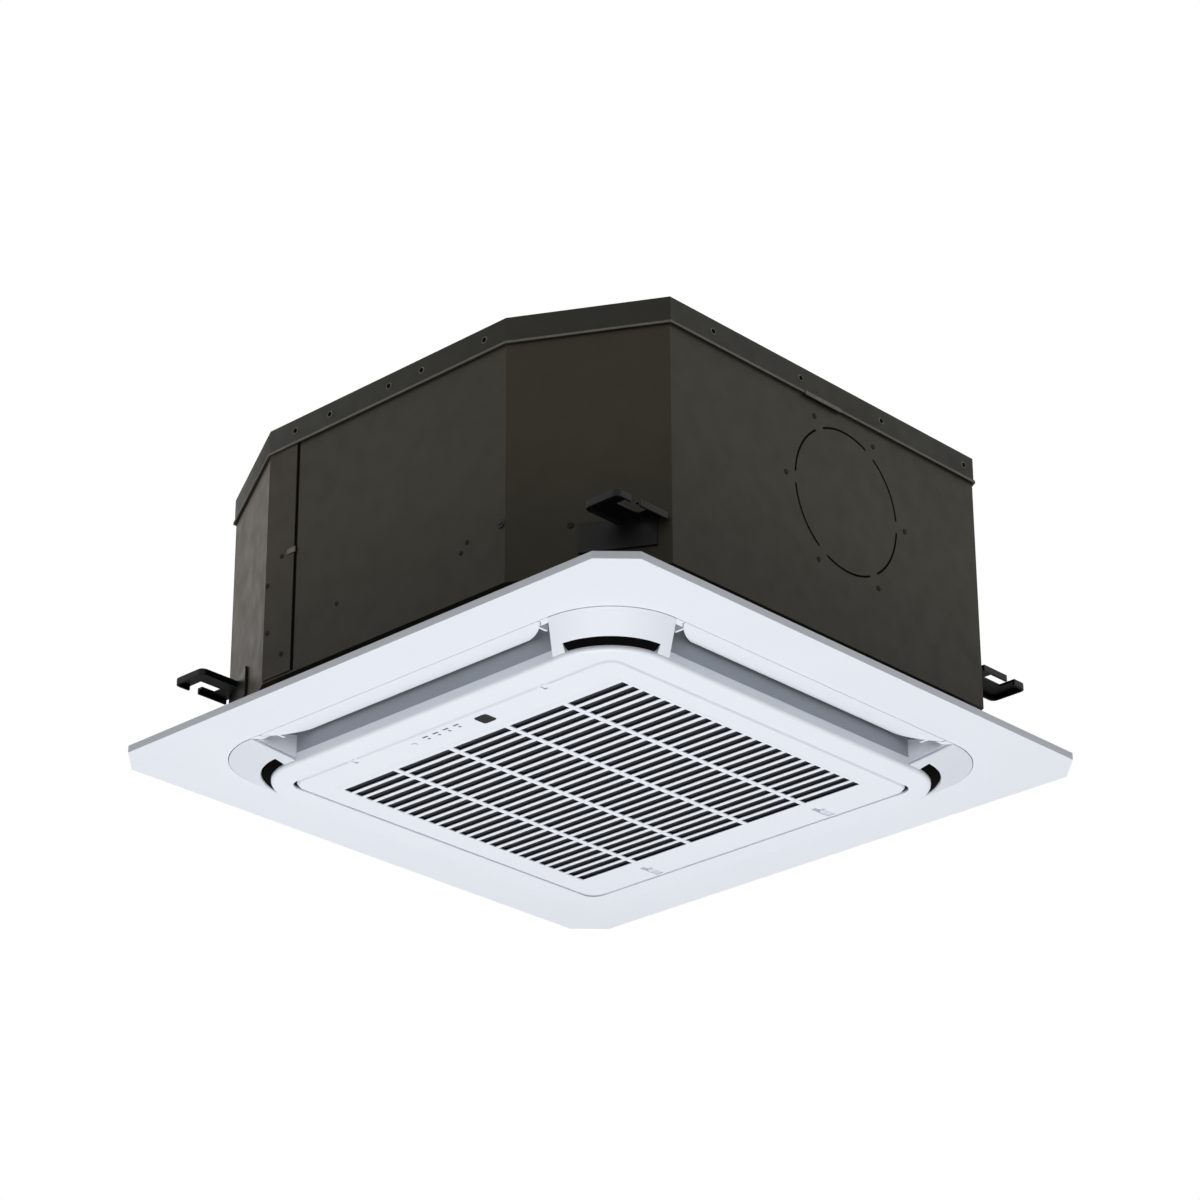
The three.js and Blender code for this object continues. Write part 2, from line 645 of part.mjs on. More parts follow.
// one leaning slot prism per row and column
function slots() {
  const width = (FIELD_X - (COLUMNS - 1) * MULLION) / COLUMNS;
  const pitch = FIELD_Y / ROWS;
  const over = 1;
  const lean = (SLAT_LEAN * (GRILLE_T + 2 * over)) / GRILLE_T;
  const columns = [];
  for (let i = 0; i < COLUMNS; i += 1) {
    const x0 = -FIELD_X / 2 + i * (width + MULLION);
    for (let j = 0; j < ROWS; j += 1) {
      const y0 = -FIELD_Y / 2 + j * pitch + (pitch - SLOT) / 2 - SLAT_LEAN / 2;
      const outline = [
        [y0, Z_FACE - over],
        [y0 + SLOT, Z_FACE - over],
        [y0 + SLOT + lean, Z_INNER + over],
        [y0 + lean, Z_INNER + over],
      ];
      columns.push(alongX(outline, x0, x0 + width));
    }
  }
  return [wasm.Manifold.union(columns)];
}

function knuckle(x, side) {
  const a = x + side * (EAR / 2 + 0.5);
  const b = x + side * (HINGE_PIN / 2 + 0.5);
  const [x0, x1] = [Math.min(a, b), Math.max(a, b)];
  const barrel = rodX(HINGE_UP, x0, x1, HINGE_Y, HINGE_Z);
  return join(barrel, block(x0, x1, HINGE_Y, HINGE_Y + 6, Z_FACE + 1, HINGE_Z + HINGE_UP));
}

function hingeRelief(x) {
  const half = HINGE_PIN / 2 + 0.5;
  const open = block(x - half, x + half, -GH - 1, HINGE_Y + 5, HINGE_Z - 0.2, 0);
  return join(open, block(x - EAR / 2 - 0.5, x + EAR / 2 + 0.5, -GH - 1, HINGE_Y + NOTCH, Z_FACE - 1, 0));
}

function hingeBore(x) {
  const bore = rodX(HINGE_PIN_R + RUN, x - HINGE_PIN, x + HINGE_PIN, HINGE_Y, HINGE_Z);
  return join(bore, block(x - EAR / 2 - 0.5, x + EAR / 2 + 0.5, -GH - 1, HINGE_Y + NOTCH, Z_FACE - 1, 0));
}

const latchY1 = GH - LATCH_EDGE - GRILLE_WALL + 0.5;

function latchCut(x) {
  const [w, l] = LATCH_SLOT;
  const slot = block(x - w / 2, x + w / 2, latchY1 - l, latchY1, Z_FACE - 1, Z_FACE + 4);
  const way = block(x - 6.5, x + 6.5, GH - 6, GH + 1, Z_FACE + 3, Z_FACE + 6.2);
  return join(slot, way);
}

function latchRails(x) {
  const [w] = LATCH_BASE;
  const rail = (s) => {
    const near = x + s * (w / 2 + GAP);
    const far = x + s * (w / 2 + 2.3);
    return block(Math.min(near, far), Math.max(near, far), latchY1 - 30, GH - 2, Z_FACE + 2, Z_FACE + 6);
  };
  return join(rail(1), rail(-1));
}

function grilleLatch(x) {
  const [w, l] = LATCH_BASE;
  const y1 = GH - GRILLE_WALL - 0.5;
  const base = block(x - w / 2, x + w / 2, y1 - l, y1, Z_FACE + 3 + GAP, Z_FACE + 5.5);
  const tongue = block(x - 6, x + 6, y1 - 2, GH - 0.3, Z_FACE + 3 + GAP, Z_FACE + 5.5);
  const half = LATCH_SLOT[0] / 2 - 0.5;
  const back = latchY1 - 1;
  const pad = block(x - half, x + half, back - LATCH_PAD, back, Z_FACE + 0.5, Z_FACE + 4);
  const rib = (d) => block(x - 3.5, x + 3.5, back - 0.6 - d, back + 0.6 - d, Z_FACE - 0.5, Z_FACE + 1);
  const ribs = [3, 6, 9].map(rib);
  return join(base, tongue, pad, ...ribs);
}

const receiverY = STRIP_Y + 3;

const receiverOutline = (grow = 0) => roundedSquare(RECEIVER / 2 + grow, RECEIVER_ROUND + grow);

function stripCuts() {
  const low = Z_FACE - 1;
  const high = Z_FACE + 4;
  const window = moved(prism(receiverOutline(GAP), low, high, 3), RECEIVER_X, receiverY, 0);
  const button = rod(BUTTON_R + 0.4, low, high, BUTTON_X, STRIP_Y, 12);
  return join(window, button, ...ledPlaces().map((x) => rod(LED_R + GAP, low, high, x, STRIP_Y, 8)));
}

function ledPlaces() {
  return Array.from({ length: LEDS }, (_, i) => LED_X + i * LED_STEP);
}

function lightGuide() {
  const places = ledPlaces();
  const [x0, x1] = [places[0] - 4, places[LEDS - 1] + 4];
  const bar = block(x0, x1, STRIP_Y - 3, STRIP_Y + 3, Z_FACE + 3 + GAP, Z_FACE + 6);
  return join(bar, ...places.map((x) => rod(LED_R, Z_FACE + 0.1, Z_FACE + 4, x, STRIP_Y, 8)));
}

function receiverWindow() {
  const lens = prism(receiverOutline(), Z_FACE - 0.4, Z_FACE + 4, 3);
  const w = RECEIVER / 2 + 2;
  const flange = block(-w, w, -w, w, Z_FACE + 3 + GAP, Z_FACE + 5);
  return moved(join(lens, flange), RECEIVER_X, receiverY, 0);
}

function manualButton() {
  return join(
    rod(BUTTON_R, Z_FACE - 0.4, Z_FACE + 4, BUTTON_X, STRIP_Y, 12),
    rod(BUTTON_R + 1.4, Z_FACE + 3 + GAP, Z_FACE + 4.5, BUTTON_X, STRIP_Y, 12),
  );
}

function displayBoard() {
  const z0 = Z_FACE + 6 + GAP;
  const board = block(BUTTON_X - 8, RECEIVER_X + 16, STRIP_Y - 6, STRIP_Y + 11, z0, z0 + BOARD_T);
  const chip = block(-10, 8, STRIP_Y - 4, STRIP_Y + 5, z0 + 1, z0 + BOARD_T + 1.5);
  const socket = block(RECEIVER_X - 4, RECEIVER_X + 8, STRIP_Y - 4, STRIP_Y + 3, z0 + 1, z0 + 5);
  return join(board, chip, socket);
}

function airFilter() {
  const x = FIELD_X / 2 + FILTER_MARGIN;
  const y = FIELD_Y / 2 + FILTER_MARGIN - 2;
  const z0 = Z_INNER + GAP;
  const outer = block(-x, x, -y, y, z0, z0 + FILTER_T);
  const holes = [];
  const [nx, ny] = FILTER_GRID;
  const wx = (2 * x - 2 * FILTER_FRAME - (nx - 1) * FILTER_RIB) / nx;
  const wy = (2 * y - 2 * FILTER_FRAME - (ny - 1) * FILTER_RIB) / ny;
  for (let i = 0; i < nx; i += 1) {
    for (let j = 0; j < ny; j += 1) {
      const x0 = -x + FILTER_FRAME + i * (wx + FILTER_RIB);
      const y0 = -y + FILTER_FRAME + j * (wy + FILTER_RIB);
      holes.push(block(x0, x0 + wx, y0, y0 + wy, z0 + FILTER_NET, z0 + FILTER_T + 1));
    }
  }
  return cut(outer, wasm.Manifold.union(holes));
}

// ---------------------------------------------------------------- body
function topPlate() {
  const shell = cut(
    prism(bodyOutline(-SHEET - GAP), Z_TOP - SKIRT, Z_TOP),
    prism(bodyOutline(-GAP), Z_TOP - SKIRT - 1, Z_TOP - SHEET),
  );
  const hem = bodyRing(-2 * SHEET - GAP, -SHEET, Z_TOP - SKIRT, Z_TOP - SKIRT + HEM);
  const bead = turned([
    [BEAD_R - 8, Z_TOP - SHEET / 2], [BEAD_R - 5, Z_TOP + BEAD],
    [BEAD_R + 5, Z_TOP + BEAD], [BEAD_R + 8, Z_TOP - SHEET / 2],
  ], 18);
  const under = turned([
    [BEAD_R - 7, Z_TOP - SHEET - 1], [BEAD_R - 4, Z_TOP + BEAD - SHEET],
    [BEAD_R + 4, Z_TOP + BEAD - SHEET], [BEAD_R + 7, Z_TOP - SHEET - 1],
  ], 18);
  return cut(join(shell, hem, bead), under);
}

// region that the service corner's own sheet takes from the casing
function serviceRegion(grow, z0, z1) {
  const x1 = -(BH - CUT_X) + CORNER_LAP + grow;
  const y1 = -(BH - CUT_Y) + CORNER_LAP + grow;
  return block(-FAR, x1, -FAR, y1, z0, z1);
}

function casingWrap() {
  const z1 = Z_TOP - SHEET - GAP;
  const sheet = bodyRing(0, SHEET, Z_BODY, z1);
  const flange = bodyRing(0, FLANGE, Z_BODY, Z_BODY + SHEET);
  const window = block(-BH - 1, -BH + 3, WINDOW.y0, WINDOW.y1, WINDOW.z0, WINDOW.z1);
  const plugHole = onFront(rod(PLUG_HOLE, -4, 4, PLUG_X, PLUG_Z));
  return cut(join(sheet, flange), serviceRegion(GAP, -FAR, FAR), ...knockOut(), window, plugHole);
}

// turns a piece drawn with its axis along Z so that it stands on the -Y wall
function onFront(body) {
  return body.rotate([90, 0, 0]).translate([0, -BH, 0]);
}

function knockOut() {
  const tools = [];
  const step = Math.PI / 3;
  const half = step / 2 - (KNOCK_BRIDGE * Math.PI) / 360;
  for (let i = 0; i < 6; i += 1) {
    const outline = new THREE.Shape();
    const a = i * step + step / 2;
    outline.absarc(0, 0, KNOCK_R + KNOCK_SLIT / 2, a - half, a + half, false);
    outline.absarc(0, 0, KNOCK_R - KNOCK_SLIT / 2, a + half, a - half, true);
    tools.push(prism(outline, -4, 4, 3));
    const [x, y] = [KNOCK_HOLES_R * Math.cos(i * step), KNOCK_HOLES_R * Math.sin(i * step)];
    tools.push(rod(KNOCK_HOLE, -4, 4, x, y, 6));
  }
  const all = wasm.Manifold.union(tools);
  return [all.rotate([90, 0, 90]).translate([BH, KNOCK_Y, KNOCK_Z])];
}

function cornerSheet() {
  const z1 = Z_TOP - SHEET - GAP;
  return join(bodyRing(0, SHEET, Z_BODY, z1), bodyRing(0, FLANGE, Z_BODY, Z_BODY + SHEET))
    .intersect(serviceRegion(0, -FAR, FAR));
}

function liner() {
  const out = SHEET + GAP;
  const z1 = Z_TOP - SHEET - GAP;
  const cup = cut(
    prism(bodyOutline(out), Z_PAN_TOP + GAP, z1),
    prism(bodyOutline(out + LINER), Z_PAN_TOP - 1, Z_INSIDE),
  );
  const { y0, y1, z0: low, z1: high } = WINDOW;
  const ports = block(-BH, -BH + out + LINER + 12, y0 - 2, y1 + 4, low - 2, high + 2);
  return cut(cup, ports, rod(BRACKET_R + 2, Z_INSIDE - 1, z1 + 1, 0, 0, 24));
}

// bolt lug of the (+X, +Y) corner
function lug() {
  const [bx, by] = HANG;
  const low = LUG_Z - LUG_LIP;
  const inside = prism(bodyOutline(-GAP), 0, Z_TOP);
  const shell = prism(lugOutline(0), low, LUG_Z + LUG_T, 2);
  const under = prism(lugOutline(LUG_T), low - 1, LUG_Z, 2);
  const half = BOLT_SLOT / 2;
  const y1 = by + SLOT_PAST;
  const slot = block(bx - half, bx + half, y1 - BOLT_SLOT_LENGTH, y1, low - 1, LUG_Z + LUG_T + 1);
  const mouth = block(bx, bx + 2 * LUG_MARGIN_X, y1 - BOLT_SLOT, y1, low - 1, LUG_Z + LUG_T + 1);
  return cut(join(cut(shell, under), lugFlange()), inside, slot, mouth);
}

// lug seen from above, rounded at its two outer corners
function lugOutline(inset) {
  const x0 = HANG[0] - LUG_ROOT + inset;
  const x1 = HANG[0] + LUG_MARGIN_X - inset;
  const y0 = BH - CUT_Y + LUG_START - (inset > 0 ? 1 : 0);
  const y1 = HANG[1] + LUG_MARGIN_Y - inset;
  const r = LUG_ROUND - inset;
  const outline = new THREE.Shape();
  outline.moveTo(x0, y0);
  outline.lineTo(x1, y0);
  outline.absarc(x1 - r, y1 - r, r, 0, Math.PI / 2, false);
  outline.absarc(x0 + r, y1 - r, r, Math.PI / 2, Math.PI, false);
  return outline;
}

// lug's flange along the corner cut, spot-welded to the wrap
function lugFlange() {
  const mid = new THREE.Vector2(BH - CUT_X / 2, BH - CUT_Y / 2);
  const along = new THREE.Vector2(CUT_X, -CUT_Y).normalize();
  const half = LUG_FLANGE_LENGTH / 2;
  const reach = 10;
  const corners = [[-half, -reach], [half, -reach], [half, reach], [-half, reach]].map(([a, b]) => [
    mid.x + (LUG_SHIFT + a) * along.x - b * along.y,
    mid.y + (LUG_SHIFT + a) * along.y + b * along.x,
  ]);
  const skin = prism(bodyOutline(-GAP - LUG_T), LUG_Z - LUG_FLANGE, LUG_Z + LUG_T);
  return skin.intersect(prism(corners, 0, Z_TOP));
}

// ---------------------------------------------------------------- inside the body
function evaporator() {
  const o = COIL_OUT;
  const i = COIL_IN;
  const r = COIL_ROUND;
  const q = COIL_ROUND - COIL_T;
  const outline = new THREE.Shape();
  outline.moveTo(-o, COIL_END);
  outline.absarc(-o + r, -o + r, r, Math.PI, 1.5 * Math.PI, false);
  outline.absarc(o - r, -o + r, r, 1.5 * Math.PI, 2 * Math.PI, false);
  outline.absarc(o - r, o - r, r, 0, Math.PI / 2, false);
  outline.lineTo(-COIL_END, o);
  outline.lineTo(-COIL_END, i);
  outline.absarc(i - q, i - q, q, Math.PI / 2, 0, true);
  outline.absarc(i - q, -i + q, q, 2 * Math.PI, 1.5 * Math.PI, true);
  outline.absarc(-i + q, -i + q, q, 1.5 * Math.PI, Math.PI, true);
  outline.lineTo(-i, COIL_END);
  return prism(outline, Z_TROUGH + GAP, Z_INSIDE - GAP, 4);
}

// end plate of the coil's end on the -X side, with its tube bends
function coilEnd() {
  const y = COIL_END + GAP;
  const z0 = Z_TROUGH + GAP;
  const z1 = Z_INSIDE - GAP;
  const plate = block(-COIL_OUT - 3, -COIL_IN + 3, y, y + END_PLATE, z0, z1);
  const middle = -(COIL_OUT + COIL_IN) / 2;
  const pitch = (z1 - z0) / TUBE_BENDS;
  const bend = (_, k) => tubeBend(middle, y + END_PLATE, z0 + (k + 0.5) * pitch);
  return join(plate, ...Array.from({ length: TUBE_BENDS }, bend));
}

// half-round tube bend that stands on the plate's face y
function tubeBend(x, y, z) {
  const path = new THREE.CurvePath();
  const point = (dx, dy) => new THREE.Vector3(x + dx, y + dy, z);
  path.add(new THREE.LineCurve3(point(-BEND_R, -END_PLATE / 2), point(-BEND_R, BEND_LEG)));
  path.add(new HalfTurn(x, y + BEND_LEG, z));
  path.add(new THREE.LineCurve3(point(BEND_R, BEND_LEG), point(BEND_R, -END_PLATE / 2)));
  return alongPath(path, TUBE_R, 4, 6);
}

function coilEndFar() {
  return coilEnd().mirror([1, 1, 0]);
}

function coilPartition() {
  const a = COIL_IN - 1;
  const b = COIL_END + GAP + END_PLATE + GAP;
  const t = END_PLATE / Math.SQRT2;
  return prism([[-a, b], [-b, a], [-b - t, a + t], [-a - t, b + t]], Z_PAN_TOP + GAP, Z_INSIDE - GAP);
}

function drainPan() {
  const slab = prism(bodyOutline(SHEET + GAP), Z_PAN, Z_PAN_TOP);
  const eye = rod(MOUTH_FLARE + 4, Z_PAN - 1, Z_PAN_TOP + 1, 0, 0, 24);
  const trough = cut(
    prism(roundedSquare(COIL_OUT + TROUGH_SIDE, COIL_ROUND + TROUGH_SIDE), Z_TROUGH, Z_PAN_TOP + 1),
    prism(roundedSquare(COIL_IN - TROUGH_SIDE, COIL_ROUND - COIL_T - TROUGH_SIDE), 0, Z_TOP, 3),
  );
  const sump = rod(SUMP_R, Z_PAN_TOP - SUMP_DEEP, Z_PAN_TOP + 1, PUMP[0], PUMP[1], 16);
  return cut(slab, eye, trough, sump, bodyOutlets(Z_PAN - 1, Z_PAN_TOP + 1));
}

function drainPump() {
  const z = Z_PAN_TOP - SUMP_DEEP + GAP;
  const body = turned([
    [0, z], [PUMP_R / 2, z], [PUMP_R / 2, z + 14], [PUMP_R, z + 18], [PUMP_R, z + 40],
    [PUMP_R - 4, z + 42], [PUMP_R - 4, z + 92], [0, z + 92],
  ], 12);
  const spout = rodX(HOSE_R - 2, -PUMP_R - 8, -PUMP_R + 4, 0, z + 29, 12);
  return moved(join(body, spout), PUMP[0], PUMP[1], 0);
}

function drainHose() {
  const z = Z_PAN_TOP - SUMP_DEEP + GAP + 29;
  const x = PUMP[0] - PUMP_R - 8 - GAP;
  const [y1, z1] = DRAIN_AT;
  return tube([
    [x, PUMP[1], z], [x - 10, PUMP[1], z], [x - 22, PUMP[1] - 1, z + 14], [x - 24, PUMP[1] - 2, z1 - 60],
    [x - 25, PUMP[1] - 8, z1 - 22], [x - 32, y1 + 4, z1 - 3], [-BH + 6, y1, z1], [-BH + 1, y1, z1],
  ], HOSE_R, 16, 6);
}

function drainOutlet() {
  const [y, z] = DRAIN_AT;
  const x1 = -BH - SHEET - 2 * GAP;
  const pipe = rodX(DRAIN_R, x1 - STUB, x1, y, z, 12);
  const collar = rodX(DRAIN_R + 4, x1 - 2, x1, y, z, 12);
  return cut(join(pipe, collar), rodX(DRAIN_R - 2, x1 - STUB - 1, x1 + 1, y, z, 12));
}

function pipePlate() {
  const x1 = -BH - GAP;
  const plate = block(x1 - SHEET, x1, WINDOW.y0 - 4, WINDOW.y1 + 3, WINDOW.z0 - 6, WINDOW.z1 + 6);
  const hole = (radius, [y, z]) => rodX(radius, x1 - 5, x1 + 5, y, z, 12);
  return cut(plate, hole(GAS_R + RUN, GAS_AT), hole(LIQUID_R + RUN, LIQUID_AT), hole(HOSE_R + RUN, DRAIN_AT));
}

function pipe(radius, [y, z], x) {
  const y0 = COIL_END + GAP + END_PLATE + GAP;
  const x1 = -BH - STUB + 8;
  return tube([
    [x, y0, z], [x, y0 + 20, z], [x - 4, y - 26, z], [x - 16, y - 5, z],
    [x - 34, y, z], [-BH + 8, y, z], [x1, y, z],
  ], radius, 14, 6);
}

function flareNut(radius, [y, z]) {
  const x1 = -BH - STUB + 14;
  const nut = rodX(radius * 1.15 + 4, x1 - 18, x1, y, z, 6);
  return cut(nut, rodX(radius + RUN, x1 - 19, x1 + 1, y, z, 12));
}

function bellMouth() {
  const z0 = Z_PAN - GAP - MOUTH_T;
  const z1 = SHROUD_Z + 6;
  const inner = [];
  const outer = [];
  for (let k = 0; k <= 4; k += 1) {
    const a = (k * Math.PI) / 8;
    const r = MOUTH_FLARE - (MOUTH_FLARE - THROAT) * Math.sin(a);
    const z = z0 + (SHROUD_Z - 8 - z0) * (1 - Math.cos(a));
    inner.push([r, z]);
    outer.push([r + MOUTH_T * Math.sin(a), z + MOUTH_T * Math.cos(a)]);
  }
  return turned([
    [MOUTH_R, z0], ...inner, [THROAT, z1],
    [THROAT + MOUTH_T, z1], ...outer.reverse(), [MOUTH_R, z0 + MOUTH_T],
  ], 20);
}

function turboFan() {
  const top = FAN_TOP;
  const dome = DRIVE_BOTTOM - 15;
  const s = FAN_SKIN;
  const bore = SHAFT_R + RUN;
  const eye = FAN_R - EYE_IN;
  const disc = turned([
    [bore, dome - 9], [HUB_R, dome - 9], [HUB_R, dome],
    [DRIVE_R + 7, dome], [DRIVE_R + 26, top], [FAN_R, top],
    [FAN_R, top + s], [DRIVE_R + 24, top + s], [DRIVE_R + 5, dome + s], [HUB_R, dome + s], [HUB_R, dome + 11],
    [bore, dome + 11],
  ], FAN_SIDES);
  const lip = THROAT + THROAT_GAP + 2.2;
  const z = SHROUD_Z;
  const shroudOuter = [[lip + s, z], [lip + s, z + 8], [lip + 11, z + 18], [FAN_R, z + 27]];
  const shroudInner = [[FAN_R, z + 27 + s], [lip + 8.5, z + 20], [lip, z + 9], [lip, z]];
  const shroud = turned([...shroudOuter, ...shroudInner], FAN_SIDES);
  const envelope = turned([
    [eye, top + 1], [FAN_R - 0.5, top + 1], [FAN_R - 0.5, SHROUD_Z + 28], [lip + 9.5, SHROUD_Z + 19],
    [lip + 1, SHROUD_Z + 8], [eye + 20, SHROUD_Z + 26], [eye + 6, SHROUD_Z + 60], [eye, SHROUD_Z + 90],
  ], FAN_SIDES);
  const blade = fanBlade(SHROUD_Z, top + 1);
  const blades = Array.from({ length: BLADES }, (_, k) => turn(blade, (360 * k) / BLADES));
  return join(disc, shroud, wasm.Manifold.union(blades).intersect(envelope));
}

// thick backward-curved blade, drawn from its leading edge outwards
function fanBlade(z0, z1) {
  const steps = 5;
  const near = FAN_R - EYE_IN - 2;
  const one = [];
  const two = [];
  for (let k = 0; k <= steps; k += 1) {
    const t = k / steps;
    const r = near + (FAN_R + 2 - near) * t;
    const a = -((BLADE_SWEEP * Math.PI) / 180) * t ** 0.85;
    const half = 0.7 + 3.2 * Math.sin(Math.PI * Math.min(1, t * 0.9 + 0.08)) ** 0.8;
    const lean = a - 0.75;
    const n = [-Math.sin(lean), Math.cos(lean)];
    one.push([r * Math.cos(a) + half * n[0], r * Math.sin(a) + half * n[1]]);
    two.push([r * Math.cos(a) - half * n[0], r * Math.sin(a) - half * n[1]]);
  }
  return prism([...two, ...one.reverse()], z0, z1);
}

function motorShaft() {
  return rod(SHAFT_R, DRIVE_BOTTOM - 32, DRIVE_BOTTOM + DRIVE_HEIGHT - 10, 0, 0, 16);
}

function fanNut() {
  const z1 = DRIVE_BOTTOM - 24 - GAP;
  return cut(rod(9, z1 - 6, z1, 0, 0, 6), rod(SHAFT_R + RUN, z1 - 8, z1 + 1, 0, 0, 16));
}

function fanMotor() {
  const z0 = DRIVE_BOTTOM;
  const z1 = z0 + DRIVE_HEIGHT;
  const can = turned([
    [0, z0], [18, z0], [DRIVE_R - 6, z0 + 6], [DRIVE_R, z0 + 12], [DRIVE_R, z0 + 38],
    [DRIVE_R + 3, z0 + 40], [DRIVE_R + 3, z0 + 44], [DRIVE_R, z0 + 46],
    [DRIVE_R, z1 - 8], [DRIVE_R - 8, z1], [0, z1],
  ], 14);
  return cut(can, rod(SHAFT_R + RUN, z0 - 1, z1 - 10 + GAP, 0, 0, 16));
}

function motorBush(k) {
  const a = (2 * Math.PI * k) / BUSHES + Math.PI / 6;
  const z0 = DRIVE_BOTTOM + DRIVE_HEIGHT + GAP;
  const at = [BUSH_CIRCLE * Math.cos(a), BUSH_CIRCLE * Math.sin(a)];
  const waist = turned([
    [0, z0], [BUSH_R, z0], [BUSH_R - 2, z0 + 2.6],
    [BUSH_R - 2, z0 + BUSH_H - 2.6], [BUSH_R, z0 + BUSH_H], [0, z0 + BUSH_H],
  ], 8);
  return moved(waist, at[0], at[1], 0);
}

// pressed cup that hangs the motor under the lid
function motorBracket() {
  const z0 = DRIVE_BOTTOM + DRIVE_HEIGHT + BUSH_H + 2 * GAP;
  const z1 = Z_TOP - SHEET - GAP;
  return turned([
    [20, z0], [DRIVE_R + 4, z0], [DRIVE_R + 12, z1 - 2.2],
    [BRACKET_R, z1 - 2.2], [BRACKET_R, z1], [DRIVE_R + 10, z1],
    [DRIVE_R + 2, z0 + 2.2], [20, z0 + 2.2],
  ], 16);
}

function controlBox() {
  const z1 = Z_BOX;
  const z0 = z1 - BOX_H;
  const [y0, y1] = BOX_Y;
  const h = BOX_X / 2;
  const room = block(-h + BOX_T, h - BOX_T, y0 + BOX_T, y1 - BOX_T, z0 - 1, z1 - BOX_T);
  const tray = cut(block(-h, h, y0, y1, z0, z1), room);
  const post = (x, y) => rod(3, z0 + 14, z1 - 1, x, y, 10);
  const [near, far] = [30 - h, 170 - h];
  return join(tray, post(near, y0 + 14), post(near, y1 - 14), post(far, y0 + 14), post(far, y1 - 14));
}

function boxCover() {
  const z1 = Z_BOX - BOX_H - GAP;
  const h = BOX_X / 2;
  const [y0, y1] = BOX_Y;
  return block(-h, h, y0, y1, z1 - BOX_T, z1);
}

function controlBoard() {
  const z1 = Z_BOX - BOX_H + 14 - GAP;
  const h = BOX_X / 2;
  const [y0, y1] = BOX_Y;
  const board = block(12 - h, 190 - h, y0 + 6, y1 - 6, z1 - BOARD_T, z1);
  const raised = BOARD_PARTS.map(([a, b, dx, dy, dz]) => {
    const x = a - h;
    const y = b + y0;
    return block(x - dx / 2, x + dx / 2, y - dy / 2, y + dy / 2, z1 - BOARD_T - dz, z1 - 0.5);
  });
  return join(board, ...raised);
}

function terminalBlock() {
  const z1 = Z_BOX - BOX_T - GAP;
  const y = (BOX_Y[0] + BOX_Y[1]) / 2;
  const x0 = BOX_X / 2 - 88;
  const base = block(x0, x0 + 70, y - 12, y + 12, z1 - 16, z1);
  const bays = Array.from({ length: 5 }, (_, k) => {
    const x = x0 + 3 + 13.2 * k;
    return block(x, x + 10.5, y - 9, y + 9, z1 - 17, z1 - 9);
  });
  return cut(base, ...bays);
}

// float of the drain pump's level switch, low on its rod in the trough
function pumpFloat() {
  const z = Z_TROUGH + 2;
  return moved(cut(rod(FLOAT_R, z, z + 10, 0, 0, 12), rod(1.9, z - 1, z + 11)), ...FLOAT, 0);
}

function floatRod() {
  const z = Z_TROUGH + GAP;
  return moved(join(rod(1.5, z, z + 26), rod(4, z + 24, z + 30), rod(3.4, z, z + 1.4)), ...FLOAT, 0);
}

// ---------------------------------------------------------------- the assembly
const paints = {
  panel: [0xe8ecf4, 0.45, 0.0],
  galvanised: [0x3c3a32, 0.5, 0.6],
  corner: [0x4a463c, 0.5, 0.6],
  lug: [0x15140f, 0.5, 0.5],
  foam: [0xb9bcc0, 0.9, 0.0],
  dark: [0x22252a, 0.8, 0.0],
  fins: [0xaab0b6, 0.35, 0.9],
  copper: [0xb87348, 0.3, 1.0],
  brass: [0xb59a54, 0.3, 1.0],
  grey: [0x8b9096, 0.6, 0.0],
  board: [0x2d6b3f, 0.5, 0.0],
  lens: [0x101216, 0.15, 0.0],
  motor: [0x9a9da2, 0.4, 0.7],
};

const unit = new THREE.Group();

function add(name, body, paint, parent = unit) {
  const [color, roughness, metalness] = paints[paint];
  const material = new THREE.MeshStandardMaterial({ color, roughness, metalness });
  const mesh = new THREE.Mesh(geometryOf(body), material);
  mesh.name = name;
  parent.add(mesh);
  return mesh;
}

function addBody() {
  add('top_plate', topPlate(), 'galvanised');
  add('casing_wrap', casingWrap(), 'galvanised');
  add('corner_sheet', cornerSheet(), 'corner');

  add('insulation_liner', liner(), 'foam');
  const one = lug();
  add('hanger_lug_1', one.mirror([0, 1, 0]), 'lug');
  add('hanger_lug_2', one, 'lug');
  add('hanger_lug_3', one.mirror([1, 0, 0]), 'lug');
  add('hanger_lug_4', one.mirror([1, 0, 0]).mirror([0, 1, 0]), 'lug');
}

function addCooling() {
  add('evaporator_coil', evaporator(), 'fins');
  add('coil_end_left', coilEnd(), 'copper');
  add('coil_end_right', coilEndFar(), 'copper');
  add('coil_partition', coilPartition(), 'galvanised');
  add('drain_pan', drainPan(), 'foam');
  add('drain_pump', drainPump(), 'grey');
  add('drain_hose', drainHose(), 'dark');
  add('drain_outlet', drainOutlet(), 'grey');
  add('float_rod', floatRod(), 'grey');
  add('pump_float', pumpFloat(), 'grey');
  add('pipe_plate', pipePlate(), 'galvanised');
  add('gas_pipe', pipe(GAS_R, GAS_AT, -COIL_IN - 11), 'copper');
  add('liquid_pipe', pipe(LIQUID_R, LIQUID_AT, -COIL_OUT + 9), 'copper');
  add('gas_flare_nut', flareNut(GAS_R, GAS_AT), 'brass');
  add('liquid_flare_nut', flareNut(LIQUID_R, LIQUID_AT), 'brass');
}

function addFan() {
  add('bell_mouth', bellMouth(), 'dark');
  add('turbo_fan', turboFan(), 'grey');
  add('motor_shaft', motorShaft(), 'motor');
  add('fan_nut', fanNut(), 'motor');
  add('fan_motor', fanMotor(), 'motor');
  add('motor_bracket', motorBracket(), 'galvanised');
  for (let k = 0; k < BUSHES; k += 1) add(`motor_bush_${k + 1}`, motorBush(k), 'dark');
}

